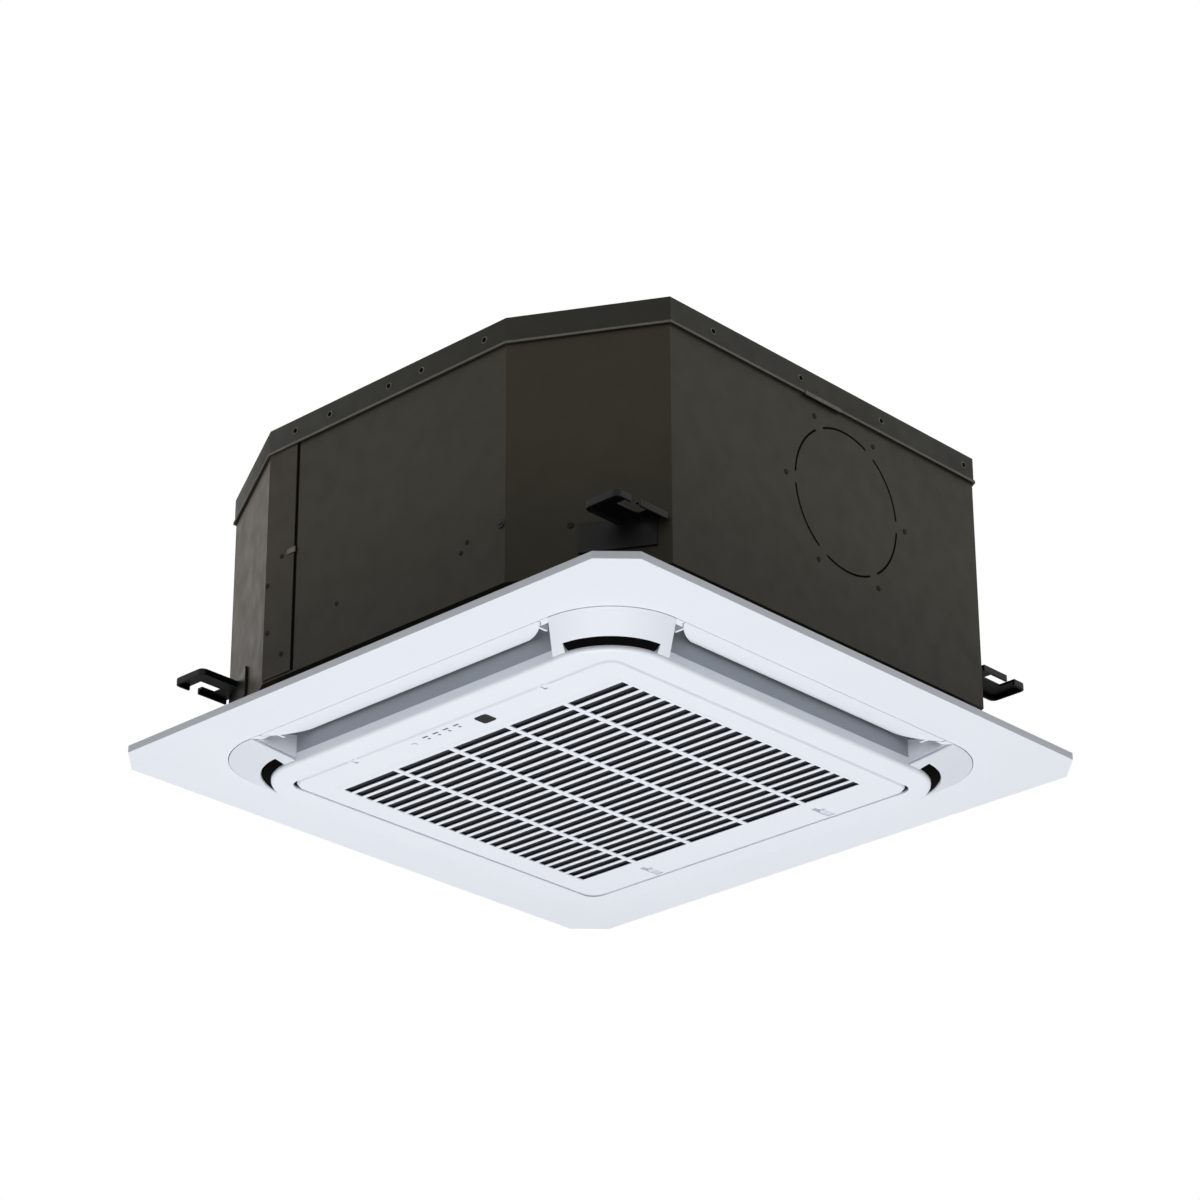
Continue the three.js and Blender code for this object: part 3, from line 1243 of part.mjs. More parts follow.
function addControls() {
  add('control_box', controlBox(), 'galvanised');
  add('control_box_cover', boxCover(), 'galvanised');
  add('control_board', controlBoard(), 'board');
  add('terminal_block', terminalBlock(), 'dark');
}

function addPanel() {
  add('panel_frame', panelFrame(), 'panel');
  add('duct_seal', ductSeal(), 'dark');
  const cover = cornerCover();
  const blade = louvre();
  const motor = louvreMotor();
  for (let k = 0; k < 4; k += 1) {
    add(`corner_cover_${k + 1}`, turn(cover, 90 * k), 'panel');
    add(`louvre_${k + 1}`, turn(blade, 90 * k), 'panel');
    add(`louvre_motor_${k + 1}`, turn(motor, 90 * k), 'dark');
  }
  add('hinge_pin_1', hingePin(HINGE_X), 'motor');
  add('hinge_pin_2', hingePin(-HINGE_X), 'motor');
}

function addGrille() {
  add('intake_grille', intakeGrille(), 'panel');
  add('air_filter', airFilter(), 'dark');
  add('grille_latch_1', grilleLatch(LATCH_X), 'panel');
  add('grille_latch_2', grilleLatch(-LATCH_X), 'panel');
  add('display_board', displayBoard(), 'board');
  add('light_guide', lightGuide(), 'grey');
  add('receiver_window', receiverWindow(), 'lens');
  add('manual_button', manualButton(), 'panel');
}

addBody();
addCooling();
addFan();
addControls();
addPanel();
addGrille();

export default unit;
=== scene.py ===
import json
import math

import bmesh
import bpy
from mathutils import Matrix, Vector

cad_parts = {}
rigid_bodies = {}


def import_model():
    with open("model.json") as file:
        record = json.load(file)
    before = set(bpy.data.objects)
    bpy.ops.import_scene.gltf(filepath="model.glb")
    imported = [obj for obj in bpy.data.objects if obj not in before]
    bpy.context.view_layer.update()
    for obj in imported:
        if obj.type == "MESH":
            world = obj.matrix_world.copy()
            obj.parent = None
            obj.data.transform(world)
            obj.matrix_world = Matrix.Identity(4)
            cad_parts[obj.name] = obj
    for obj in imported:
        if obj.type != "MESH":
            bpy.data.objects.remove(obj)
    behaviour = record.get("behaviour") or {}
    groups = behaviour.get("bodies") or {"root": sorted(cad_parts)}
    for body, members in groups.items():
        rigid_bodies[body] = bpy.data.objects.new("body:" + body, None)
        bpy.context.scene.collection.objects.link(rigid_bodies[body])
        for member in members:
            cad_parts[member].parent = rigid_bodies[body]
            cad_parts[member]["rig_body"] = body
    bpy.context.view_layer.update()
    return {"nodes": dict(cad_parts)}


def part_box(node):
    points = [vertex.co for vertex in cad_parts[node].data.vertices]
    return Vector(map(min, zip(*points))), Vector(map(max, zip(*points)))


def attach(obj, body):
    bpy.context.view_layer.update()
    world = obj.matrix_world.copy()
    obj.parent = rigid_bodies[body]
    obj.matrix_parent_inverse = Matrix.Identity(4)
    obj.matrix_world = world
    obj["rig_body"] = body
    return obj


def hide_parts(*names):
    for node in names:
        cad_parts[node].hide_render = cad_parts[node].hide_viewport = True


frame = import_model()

# Ceiling cassette air conditioner, seen from below. Lengths are millimetres until a piece is finished.
# z = 0 is the ceiling's face; -Y is the side with the signal strip, +X the side with the knock-out.
# On a side, w is the distance outwards from the middle. The four sides and the four corners are
# quarter turns of the -Y side and of the near corner, at +X and -Y.

MM = 0.001
NODES = frame["nodes"]


def node_box(name):
    """Lowest and highest corner of a CAD node, in millimetres."""
    low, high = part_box(name)
    return low / MM, high / MM


# ---------- sizes taken from the frame
PANEL = node_box("panel_frame")[1].x  # half width of the panel
FACE_Z = node_box("panel_frame")[0].z  # lowest face, on the ring and the grille
STEP_Z = node_box("corner_cover_1")[0].z  # the slope's inner edge
BORDER_Z = node_box("corner_cover_1")[1].z  # its outer edge, level with the border
GRILLE = node_box("intake_grille")[1].x  # half width of the grille
GRILLE_TOP_Z = node_box("intake_grille")[1].z
BODY = node_box("casing_wrap")[1].x  # half width of the body
TOP_Z = node_box("casing_wrap")[1].z

# ---------- sizes of the panel
WALL = 2.5  # thickness of a moulding
EDGE = 0.6  # softened edge of the border
CORNER_STEPS = 14  # facets of a rounded corner
PANEL_CORNER = 28.8  # leg of the panel's cut corners
RIM_LIP = 4  # width of the rim where it lies on the ceiling
BORDER = 56.5  # width of the flat border
SLOPE = 33  # width of the sloping band with outlets and corner covers
STEP_OUT = PANEL - BORDER  # the slope's outer edge
STEP_IN = STEP_OUT - SLOPE  # its inner edge
SLOPE_DROP = BORDER_Z - STEP_Z
OUTER_ROUND = 76  # corner radius of the slope's outer edge
INNER_ROUND = 60  # and of its inner edge
CORNER = STEP_IN - INNER_ROUND  # centre of a corner's rounding, in x and in y
RING_ROUND = STEP_Z - FACE_Z  # rounded outer edge of the ring round the grille
RING_STEPS = 4
SEAM = 1.3  # gap between grille and ring
RING_IN = GRILLE + SEAM
RING_IN_ROUND = 14.2
SHELL_Z = -1  # above this level the panel keeps its plain solid

OUTLET_OUTER = 189  # half length of an outlet at the slope's outer edge
OUTLET_INNER = 163  # and at its inner edge
END_WALL = 3.4
SUNK = 0.5  # a roof or pad reaches this far into the end wall
PAD_SEAM = 0.3  # gap between the border's edge and a roof or pad
PAD = 1  # thickness of a roof or pad
ROOF_Z = 8.5  # roof over the blade's end, clear of the swinging arm
PAD_DEPTH = 8.5  # pad beside the blade's end, in the outlet's outer corner
PAD_GAP = 1.1
PAD_RISE = 0.1  # above the blade's level
SHADE_STRIP_X = OUTLET_INNER - 1  # half length of the grey strip of painted shade on the ducts' inner walls
SHADE_STRIP_Z = (-19, 16)
SHADE_STRIP = (0.05, 0.5)  # its back and its face, in front of the wall

COVER_GAP = 0.3  # seam round a corner cover
COVER_STEPS = 24
ARC_SLOT = 8.3  # width of a cover's arc slot
ARC_SPREAD = 38  # degrees from the slot's middle to its ends
SHADE_GAP = 0.3
SHADE_UP = 0.9  # black strip of painted shade in the slot, above the cover's face
SHADE_STEPS = 16

# ---------- sizes of the louvres
PIVOT_W = STEP_OUT - 17
PIVOT_Z = 2
BLADE = 2.2  # thickness
BLADE_SEAM = 0.5  # gap to the border's edge
BLADE_WIDTH = 29
BLADE_OUTER = 177  # half length along the outer edge
BLADE_STRAIGHT = 3  # the ends run straight so far in
BLADE_BEND = (18.5, 19)  # control point of the curve: how far in, and how much less than BLADE_OUTER
BLADE_END = 26.5  # how far in the curve would end
BLADE_TIP = 138  # and the half length there
BLADE_CURL = 3.8  # the inner edge lies this much higher
CURL_POWER = 2.2
BLADE_GRID = (40, 24)
ROW_POWER = 0.8  # rows lie closer towards the inner edge
ROOF_X = BLADE_TIP + 2
ROOF_DEPTH = BLADE_WIDTH + 1
ARM = 2.5  # thickness of the arm that joins the blade to its pin
ARM_HALF = 5
ARM_INSET = 10  # from the outlet's end
ARM_Z = (BORDER_Z + 1.5, PIVOT_Z + 2.4)
PIN_R = 2.5
PIN_REACH = {-1: END_WALL + 1, 1: 14.5}  # beyond the outlet's end: into its wall, or into the motor

# ---------- sizes of the grille
GRILLE_ROUND = 17.5
GRILLE_STEPS = 8
EDGE_BEVEL = 2
PLATE = 3  # thickness
FIELD_X = 354  # slotted field
FIELD_Y = 326
FIELD_RIM = 5
COLUMNS = 5
ROWS = 24
MULLION = 5.5  # bar between two columns
SLOT = 8.7  # height of a slot
SLAT = 1.3  # depth of the bars between the slots
SLAT_LEAN = 1.1  # their backs lie this much further to +Y
HINGE_X = 120
NOTCH = 1.8  # half width of the notch for a hinge ear
NOTCH_DEPTH = 7.7
EAR = 1.2  # half thickness of a hinge ear
EAR_Y = (-STEP_IN + 12, -GRILLE + 6.8)
EAR_Z = (FACE_Z + 0.4, FACE_Z + 9)
KNUCKLE_X = (-6.5, 1.7)  # starts of the two hinge knuckles, from the ear's middle
KNUCKLE = 4.8  # length
KNUCKLE_R = 3
KNUCKLE_Y = -GRILLE + 2.3
LATCH_X = 110
LATCH_SLOT = (10, 24)  # width and length
LATCH_EDGE = 4.5  # from the slot to the grille's edge
LATCH_ROUND = 1.5
LATCH_STEPS = 3
RAIL_X = 10.3  # guide rails to both sides of a latch
RAIL = 1  # half thickness
RAIL_Y = (GRILLE - 34, GRILLE - 2)
RAIL_Z = (FACE_Z + 2, FACE_Z + 6)
STRIP_Y = -GRILLE + 14  # signal strip
RECEIVER = (35, STRIP_Y + 3, 15.6, 2.8)  # x, y, width and corner radius
RECEIVER_STEPS = 5
LEDS = (-33, -20, -7, 6)
LED_HOLE = 1.7  # radius
LED_STEPS = 16
BUTTON = (-52, STRIP_Y, 2.9)  # x, y and radius of the hole
BUTTON_STEPS = 20
MARK = 3.2  # half length of the printed bar beside a lamp
MARK_Y = (STRIP_Y - 6.4, STRIP_Y - 4.2)
MARK_Z = (FACE_Z - 0.12, FACE_Z + 0.2)

# ---------- sizes of the bell mouth and the body
MOUTH_RIM = 16  # width of the flat rim
MOUTH_THROAT = 50  # from the rim's edge in to the throat
MOUTH_SHEET = 2.2
MOUTH_STEPS = 96
MOUTH_CURVE = 8
THROAT_Z = 58  # the curve ends here

CUT_X = 130  # a corner cut takes so much off the -Y and +Y sides
CUT_Y = 72  # and so much off the others
LID = BODY + 1.5  # outer face of the lid's skirt
LID_TOP = TOP_Z + 1.2
HEM = 26.5  # from the lid's top down to the hem
HEM_Z = LID_TOP + 0.3 - HEM
RIVET_Z = LID_TOP - HEM / 2 + 1
HEM_OUT = (0.4, 2.75)  # section of the pale band painted as a highlight along the hem's edge, from the body's face
HEM_UP = (-0.1, 2.3)
HEM_LAP_Y = (-34, 16)  # lap of the hem on the +X side
HEM_LAP_OUT = (1, 2.2)  # from the skirt
HEM_LAP_UP = (-1.6, 2.6)
LAP_X = (-155, -117)  # the corner sheet laps over the -Y wall
LAP_Z = (33, TOP_Z - HEM + 2)
LAP = (-0.2, 1.1)  # its back and its face, in front of the wall
JOINT_X = (LAP_X[1] + 0.05, LAP_X[1] + 2.8)  # black joint beside the lap
JOINT = (-0.2, 0.35)
CLIP_X = (LAP_X[1] - 9, LAP_X[1] + 2.5)  # clip across the joint
CLIP_Z = (151.5, 157)
CLIP = (1.0, 1.9)

KNOCK = (23, 175, 71)  # knock-out on the +X wall: y, z and radius
KNOCK_COUNT = 6  # bridges that hold it, and screws round it
KNOCK_HOLES = 83.5  # radius of the screws' circle
KNOCK_BRIDGE = 11  # degrees that a bridge leaves open
GROOVE = 2  # width of the scored line
GROOVE_DEPTH = 0.3
GROOVE_PROUD = 0.12
GROOVE_STEPS = 12
RIVETS_Y = (-120, -73, 5.8, 48.5, 128.8)  # along the lid's skirt on the -Y and +Y sides
RIVETS_X = (-157.6, -38.6, 75.9, 198.7)  # and on the others
CORNER_MARKS = ((-133.6, 153), (-130, 53), (-152, 128.5), (-150, 80))  # screws on the lap: x and z
WALL_MARKS = ((100.6, 77), (108.3, 85), (-58.3, 80.6))  # screws on the -Y wall
CUT_SCREW_AT = (206.3, -256.6, 77.9)  # on the near corner's cut
PLUG = (150, 89)  # x and z on the -Y wall
# radii at the foot and at the top, then the levels of both in front of the face
RIVET_HEAD = (3.8, 3.2, -0.3, 0.5)
RIVET_HOLE = (2.4, 2.4, 0.2, 0.6)
WALL_SCREW = (2.6, 2.0, -0.3, 0.7)
LAP_SCREW = (2.8, 2.2, -0.3, 0.6)
KNOCK_SCREW = (3.0, 2.5, -0.3, 0.5)
CUT_SCREW = (3.4, 2.8, -0.3, 0.7)
PLUG_FLANGE = (5.6, 4.6, -1, 1.2)
PLUG_PIN = (2.6, 2.0, 1, 2.2)
DISC_STEPS = 16

SHARP = 32  # edges sharper than this many degrees keep a crisp shade
WELD = 0.002  # vertices of a CAD solid that lie closer than this are one
FLAT = 0.8  # its faces that meet at less than this many degrees are one
SAME_LEVEL = 1e-6

# ---------- colour and material helpers
MIX_COLOURS = (6, 7)  # a Mix node's two colour inputs
MIX_RESULT = 2  # and its colour output
NOISE_RANGE = (0.3, 0.7)  # where most of a noise lies
WAVES = 3.2  # bands that a wave texture draws per unit
BEAD = 4  # beads of polystyrene foam
DARK_FOOT_Z = (20, 190)  # a coated sheet is darkest below the first level and keeps its plain colour above the second


def linear(code):
    """An sRGB hex colour as linear red, green, blue and alpha."""
    channels = [int(code[i:i + 2], 16) / 255 for i in (0, 2, 4)]
    return [c / 12.92 if c <= 0.04045 else ((c + 0.055) / 1.055) ** 2.4 for c in channels] + [1]


def add(tree, kind, inputs=None, **settings):
    """A node of a kind, with its settings, and its inputs given as values or as sockets to link."""
    made = tree.nodes.new(kind)
    for key, value in settings.items():
        setattr(made, key, value)
    for key, value in (inputs or {}).items():
        if isinstance(value, bpy.types.NodeSocket):
            tree.links.new(value, made.inputs[key])
        else:
            made.inputs[key].default_value = value
    return made


def surface(name, **shader):
    """A new material, its tree and its Principled shader, with the values given."""
    material = bpy.data.materials.new(name)
    material.use_nodes = True
    tree = material.node_tree
    tree.nodes.clear()
    values = {key.replace("_", " "): value for key, value in shader.items()}
    principled = add(tree, "ShaderNodeBsdfPrincipled", values)
    add(tree, "ShaderNodeOutputMaterial", {"Surface": principled.outputs["BSDF"]})
    return material, tree, principled


def place_of(tree):
    """Object coordinates, in metres."""
    return add(tree, "ShaderNodeTexCoord").outputs["Object"]


def noise(tree, size_mm, detail=2):
    """Noise whose features are about size_mm across."""
    inputs = {"Vector": place_of(tree), "Scale": 1 / (size_mm * MM), "Detail": detail}
    return add(tree, "ShaderNodeTexNoise", inputs).outputs["Fac"]


def bands(tree, pitch_mm, direction):
    """Parallel bands at a pitch, across a direction."""
    inputs = {"Vector": place_of(tree), "Scale": 1 / (pitch_mm * MM) / WAVES}
    return add(tree, "ShaderNodeTexWave", inputs, bands_direction=direction).outputs["Fac"]


def larger(tree, one, two):
    """The larger of two values."""
    return add(tree, "ShaderNodeMath", {0: one, 1: two}, operation="MAXIMUM").outputs["Value"]


def blend(tree, factor, one, two):
    """Colour between two, each a hex code or a socket."""
    ends = [linear(end) if isinstance(end, str) else end for end in (one, two)]
    inputs = {"Factor": factor, **dict(zip(MIX_COLOURS, ends))}
    return add(tree, "ShaderNodeMix", inputs, data_type="RGBA").outputs[MIX_RESULT]


def tint(tree, shader, factor, one, two):
    """Gives a shader a colour between two."""
    tree.links.new(blend(tree, factor, one, two), shader.inputs["Base Color"])


def vary_shine(tree, shader, value, roughness, swing):
    """Lets a noise vary a shader's roughness by a swing up and down."""
    inputs = {"Value": value, "To Min": roughness - swing, "To Max": roughness + swing}
    inputs["From Min"], inputs["From Max"] = NOISE_RANGE
    tree.links.new(add(tree, "ShaderNodeMapRange", inputs).outputs["Result"], shader.inputs["Roughness"])


def dimple(tree, shader, height, depth_mm):
    """Bump on a shader from a height value."""
    inputs = {"Height": height, "Distance": depth_mm * MM, "Strength": 1.0}
    tree.links.new(add(tree, "ShaderNodeBump", inputs).outputs["Normal"], shader.inputs["Normal"])


def moulded(name, one, two, roughness, grain_mm=1.2, depth_mm=0.004):
    """Moulded plastic, foam or felt: an even colour, and a grain that dulls the shine in places."""
    material, tree, shader = surface(name, IOR=1.5)
    tint(tree, shader, noise(tree, 90), one, two)
    grain = noise(tree, grain_mm, 3)
    vary_shine(tree, shader, grain, roughness, 0.05)
    dimple(tree, shader, grain, depth_mm)
    return material


def coated_sheet(name, low, one, two, roughness, metallic=0.35, gloss=0.22):
    """Zinc-coated steel sheet with a thin dark coat: soft clouds, and darker towards its foot."""
    material, tree, shader = surface(name, Metallic=metallic, IOR=1.5, Specular_IOR_Level=gloss)
    height = add(tree, "ShaderNodeSeparateXYZ", {"Vector": place_of(tree)}).outputs["Z"]
    inputs = {"Value": height, "From Min": DARK_FOOT_Z[0] * MM, "From Max": DARK_FOOT_Z[1] * MM}
    rise = add(tree, "ShaderNodeMapRange", inputs, interpolation_type="SMOOTHSTEP").outputs["Result"]
    tint(tree, shader, rise, low, blend(tree, noise(tree, 140, 3), one, two))
    vary_shine(tree, shader, noise(tree, 22, 4), roughness, 0.06)
    dimple(tree, shader, noise(tree, 4, 3), 0.01)
    return material


def metal(name, one, two, roughness):
    """Bare metal: full metallic, its roughness varied by handling marks."""
    material, tree, shader = surface(name, Metallic=1.0)
    tint(tree, shader, noise(tree, 30), one, two)
    vary_shine(tree, shader, noise(tree, 3, 4), roughness, 0.08)
    return material


def bead_foam(name, one, two):
    """Expanded polystyrene: fused beads, matt."""
    material, tree, shader = surface(name, Roughness=0.85, IOR=1.4)
    beads = {"Vector": place_of(tree), "Scale": 1 / (BEAD * MM)}
    depth = add(tree, "ShaderNodeTexVoronoi", beads).outputs["Distance"]
    tint(tree, shader, depth, one, two)
    dimple(tree, shader, depth, 0.25)
    return material


def finned(name, one, two, pitch_mm):
    """Thin parallel metal fins."""
    material, tree, shader = surface(name, Metallic=0.9, Roughness=0.35)
    fins = bands(tree, pitch_mm, "X")
    tint(tree, shader, fins, one, two)
    dimple(tree, shader, fins, 0.3)
    return material


def woven_net(name, one, two, pitch_mm):
    """Filter net: two crossed sets of threads."""
    material, tree, shader = surface(name, Roughness=0.75)
    threads = larger(tree, bands(tree, pitch_mm, "X"), bands(tree, pitch_mm, "Y"))
    tint(tree, shader, threads, one, two)
    dimple(tree, shader, threads, 0.2)
    return material


MATERIALS = {
    # panel, grille and blades: a cool white with a soft broad sheen
    "white": moulded("satin white ABS", "e6eaf2", "e9edf4", 0.42),
    # corner covers: the border's white made a little darker as painted shade, and a little rougher, so that
    # the slope, which the lamps light more, doesn't outshine the border
    "cover": moulded("satin white ABS, cover, painted shade", "dee2ea", "e1e5ed", 0.5),
    # body: near-black olive grey, satin, a little cloudy
    "sheet": coated_sheet("coated zinc sheet", "27241a", "343126", "3e3a2e", 0.46),
    # lid: pressed from a darker and more neutral coil
    "lid": coated_sheet("coated zinc sheet, lid", "2b2a25", "2a2923", "33322b", 0.5),
    # the service corner's own sheet: a shade browner than the wall beside it
    "corner_sheet": coated_sheet("coated zinc sheet, corner", "38301f", "463f31", "50493a", 0.5),
    # its folded lap: painted shade, the corner sheet's colour a little darker, since the lap faces the same
    # way as the wall
    "lap": coated_sheet("coated zinc sheet, lap, painted shade", "2c281e", "3a362b", "403b30", 0.5),
    # pale metal: bare zinc for the rivet heads and the clip, and a painted highlight along the hem's lower
    # edge, which faces the lamp below
    "bare_zinc_and_highlight": metal("bare zinc, and painted highlight on the hem", "55534b", "6a675f", 0.6),
    # screws: rust that has crept under the coat
    "rusty": coated_sheet("rusted screw head", "15110c", "15110c", "2b1a12", 0.7, 0.2),
    # lugs: a thick coat, blacker than the body, with a soft highlight
    "lug": coated_sheet("black powder coat", "0e0d0c", "121110", "1a1916", 0.42, 0.1),
    # holes, slots and the scored line that are looked into: painted shade, a dead black for the dark inside
    # them; also the black joint beside the lap
    "pitch": coated_sheet("matt black, painted shade and joint", "060606", "060606", "0b0b0b", 0.95, 0, 0.05),
    # drain pan: pale and matt, its beads show as small cells
    "foam": bead_foam("white bead foam", "d3d6d8", "e4e6e8"),
    # insulation inside the body: the same beads, so dark that the inside recedes
    "liner": bead_foam("charcoal bead foam", "1c1e20", "2a2c2f"),
    # seal between panel and body: black and dead matt, with open cells
    "seal": moulded("black cell foam", "17181a", "202225", 0.9, 2, 0.1),
    # coil: bright and dark lines in turn, drawn at 3 mm so that they show
    "fins": finned("aluminium fins", "8b9095", "c9ced2", 3),
    # pipes and tube bends: warm red metal with soft highlights
    "copper": metal("drawn copper", "b66a3f", "c67c4f", 0.32),
    # flare nuts: yellower and brighter than the pipes
    "brass": metal("turned brass", "b08f4a", "c0a05a", 0.28),
    # shaft, nut, motor can and hinge pins: cool, bright metal
    "steel": metal("bright zinc-plated steel", "9fa2a6", "b4b7bb", 0.35),
    # fan, pump and float: a plain technical grey
    "grey": moulded("grey ABS", "7e8389", "868b91", 0.5),
    # bell mouth, terminals and louvre motors: dark, with a slight sheen
    "black": moulded("black ABS", "1b1d20", "222428", 0.5),
    # hose, bushes and plug: black and nearly matt
    "rubber": moulded("moulded rubber", "131313", "1a1a1a", 0.75, 2, 0.02),
    # circuit boards: green lacquer with a shine
    "board": moulded("coated circuit board", "245a36", "2c6a40", 0.35),
    # air filter: dark threads, a fine texture behind the slots
    "net": woven_net("filter net", "131518", "2c3034", 2.2),
    # signal lamps, unlit: grey dots a little glossier than the grille
    "milk": moulded("smoky polycarbonate", "8d93a0", "999fab", 0.25),
    # bars beside the lamps: a flat grey-blue, with no shine of its own
    "print": moulded("grey-blue pad print", "5f6878", "6b7484", 0.6),
    # receiver window: almost black and glossy
    "lens": moulded("smoked polycarbonate", "0c0e11", "121418", 0.12),
    # inner walls of the outlets: painted shade, a matt light grey for the white wall in shade deep in the
    # outlet, so that an outlet isn't a black gap
    "outlet_shade": moulded("grey painted shade in the outlets", "989da6", "a2a7b0", 0.8, 2, 0.03),
    # duct walls above the panel's face: painted shade, the panel's white wall in a grey darker than the
    # outlets' grey strip
    "cavity": moulded("duct walls, grey painted shade", "7f8790", "8a929b", 0.55),
}


# ---------- mesh helpers
def mesh_of(name, bm):
    """A mesh made from a bmesh, which is used up."""
    mesh = bpy.data.meshes.new(name)
    bm.to_mesh(mesh)
    bm.free()
    return mesh


def placed(name, data):
    """A new object in the scene that shows a mesh, a camera or a lamp."""
    made = bpy.data.objects.new(name, data)
    bpy.context.scene.collection.objects.link(made)
    return made


def finished(name, bm, material, replaces=(), body="housing"):
    """Makes an object from a bmesh in millimetres: normals, shading, material, and what it rides on."""
    bm.transform(Matrix.Scale(MM, 4))
    bmesh.ops.recalc_face_normals(bm, faces=bm.faces)
    for face in bm.faces:
        face.smooth = True
    for edge in bm.edges:
        edge.smooth = len(edge.link_faces) == 2 and edge.calc_face_angle(math.pi) < math.radians(SHARP)
    made = placed(name, mesh_of(name, bm))
    made.data.materials.append(MATERIALS[material])
    made.modifiers.new("even shading", "WEIGHTED_NORMAL").keep_sharp = True
    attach(made, body)
    if replaces:
        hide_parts(*replaces)


def everything(bm):
    """All vertices, edges and faces of a bmesh."""
    return bm.verts[:] + bm.edges[:] + bm.faces[:]


def edges_of(verts):
    """Every edge that meets one of these vertices."""
    return list({e for v in verts for e in v.link_edges})


def bevel(bm, parts, size, segments, affect, clamp):
    """Rounds edges or vertices by a size."""
    options = dict(offset_type="OFFSET", profile=0.5, material=-1, clamp_overlap=clamp)
    bmesh.ops.bevel(bm, geom=parts, offset=size, segments=segments, affect=affect, **options)


def soften(bm, size, degrees=30, test=None, segments=2):
    """Rounds every edge that is sharper than so many degrees and passes a test, if there is one."""
    found = []
    for edge in bm.edges:
        if len(edge.link_faces) == 2 and edge.calc_face_angle(0) > math.radians(degrees):
            if test is None or test(edge):
                found.append(edge)
    bevel(bm, found, size, segments, "EDGES", True)


def loop_of(bm, corners, rounds, z, steps=CORNER_STEPS):
    """Closed loop of edges through corners, those with a radius rounded."""
    before = set(bm.faces)
    verts = [bm.verts.new((x, y, z)) for x, y in corners]
    bm.faces.new(verts)
    for radius in sorted(set(rounds) - {0}):
        chosen = [v for v, r in zip(verts, rounds) if r == radius]
        bevel(bm, chosen, radius, steps, "VERTICES", False)
    face = (set(bm.faces) - before).pop()
    edges = list(face.edges)
    bmesh.ops.delete(bm, geom=[face], context="FACES_ONLY")
    return edges


def square_loop(bm, half, radius, z, steps=CORNER_STEPS):
    """Square about the middle, its corners rounded."""
    corners = [(half, half), (-half, half), (-half, -half), (half, -half)]
    return loop_of(bm, corners, [radius] * 4, z, steps)


def cut_square_loop(bm, half, leg, z):
    """Square about the middle, its corners cut off straight."""
    return square_loop(bm, half, leg, z, 1)


def rect_loop(bm, x0, x1, y0, y1, z, radius=0, steps=CORNER_STEPS):
    """Rectangle between two corners, its own corners rounded by a radius."""
    return loop_of(bm, [(x0, y0), (x1, y0), (x1, y1), (x0, y1)], [radius] * 4, z, steps)


def circle_loop(bm, x, y, radius, z, steps):
    """Circle about a point."""
    place = Matrix.Translation((x, y, z))
    return edges_of(bmesh.ops.create_circle(bm, segments=steps, radius=radius, matrix=place)["verts"])


def fill(bm, *loops):
    """Flat face inside the first loop and outside the others."""
    edges = [e for loop in loops for e in loop]
    bmesh.ops.triangle_fill(bm, use_beauty=True, use_dissolve=False, edges=edges)


def bridge(bm, *loops):
    """Joins each loop to the next with faces; two loops on one level get a flat face between them."""
    for one, two in zip(loops, loops[1:]):
        if abs(one[0].verts[0].co.z - two[0].verts[0].co.z) < SAME_LEVEL:
            fill(bm, one, two)
        else:
            bmesh.ops.bridge_loops(bm, edges=one + two)


def thicken(bm, faces, thickness):
    """Adds thickness above an open sheet that is seen from below; returns all faces."""
    bmesh.ops.recalc_face_normals(bm, faces=faces)
    if sum(face.normal.z for face in faces) > 0:
        bmesh.ops.reverse_faces(bm, faces=faces)
    grown = bmesh.ops.solidify(bm, geom=faces, thickness=thickness)["geom"]
    return [f for f in [*faces, *grown] if isinstance(f, bmesh.types.BMFace)]


def box_in(bm, x0, x1, y0, y1, z0, z1):
    """Box between two corners; returns its vertices."""
    place = Matrix.Translation(((x0 + x1) / 2, (y0 + y1) / 2, (z0 + z1) / 2))
    place @= Matrix.Diagonal((x1 - x0, y1 - y0, z1 - z0, 1))
    return bmesh.ops.create_cube(bm, size=1, matrix=place)["verts"]


def rod_in(bm, start, end, radius, radius2=None, steps=20):
    """Round bar between two points, radius2 thick at its end if that is given; returns its vertices."""
    start = Vector(start)
    end = Vector(end)
    turn = Vector((0, 0, 1)).rotation_difference(end - start).to_matrix().to_4x4()
    place = Matrix.Translation((start + end) / 2) @ turn
    sizes = dict(radius1=radius, radius2=radius if radius2 is None else radius2, depth=(end - start).length)
    return bmesh.ops.create_cone(bm, cap_ends=True, segments=steps, matrix=place, **sizes)["verts"]


def quarter_turn(bm, k, verts=None):
    """Turns vertices, or everything, by k quarter turns about the middle."""
    turn = Matrix.Rotation(math.radians(90 * k), 4, "Z")
    bmesh.ops.transform(bm, matrix=turn, verts=verts or bm.verts)


def merge(bm, other):
    """Adds another bmesh's faces to this one."""
    mesh = mesh_of("passing", other)
    bm.from_mesh(mesh)
    bpy.data.meshes.remove(mesh)


def copied(name):
    """A CAD node's solid as a bmesh in millimetres, its loose triangles merged into flat faces."""
    bm = bmesh.new()
    bm.from_mesh(NODES[name].data)
    bm.transform(Matrix.Scale(1 / MM, 4))
    bmesh.ops.remove_doubles(bm, verts=bm.verts, dist=WELD)
    bmesh.ops.dissolve_limit(bm, angle_limit=math.radians(FLAT), verts=bm.verts, edges=bm.edges)
    return bm


def islands(bm):
    """The separate pieces of a bmesh, each a set of vertices."""
    left = set(bm.verts)
    found = []
    while left:
        todo = [left.pop()]
        piece = set(todo)
        while todo:
            for edge in todo.pop().link_edges:
                for vert in edge.verts:
                    if vert in left:
                        left.remove(vert)
                        piece.add(vert)
                        todo.append(vert)
        found.append(piece)
    return found


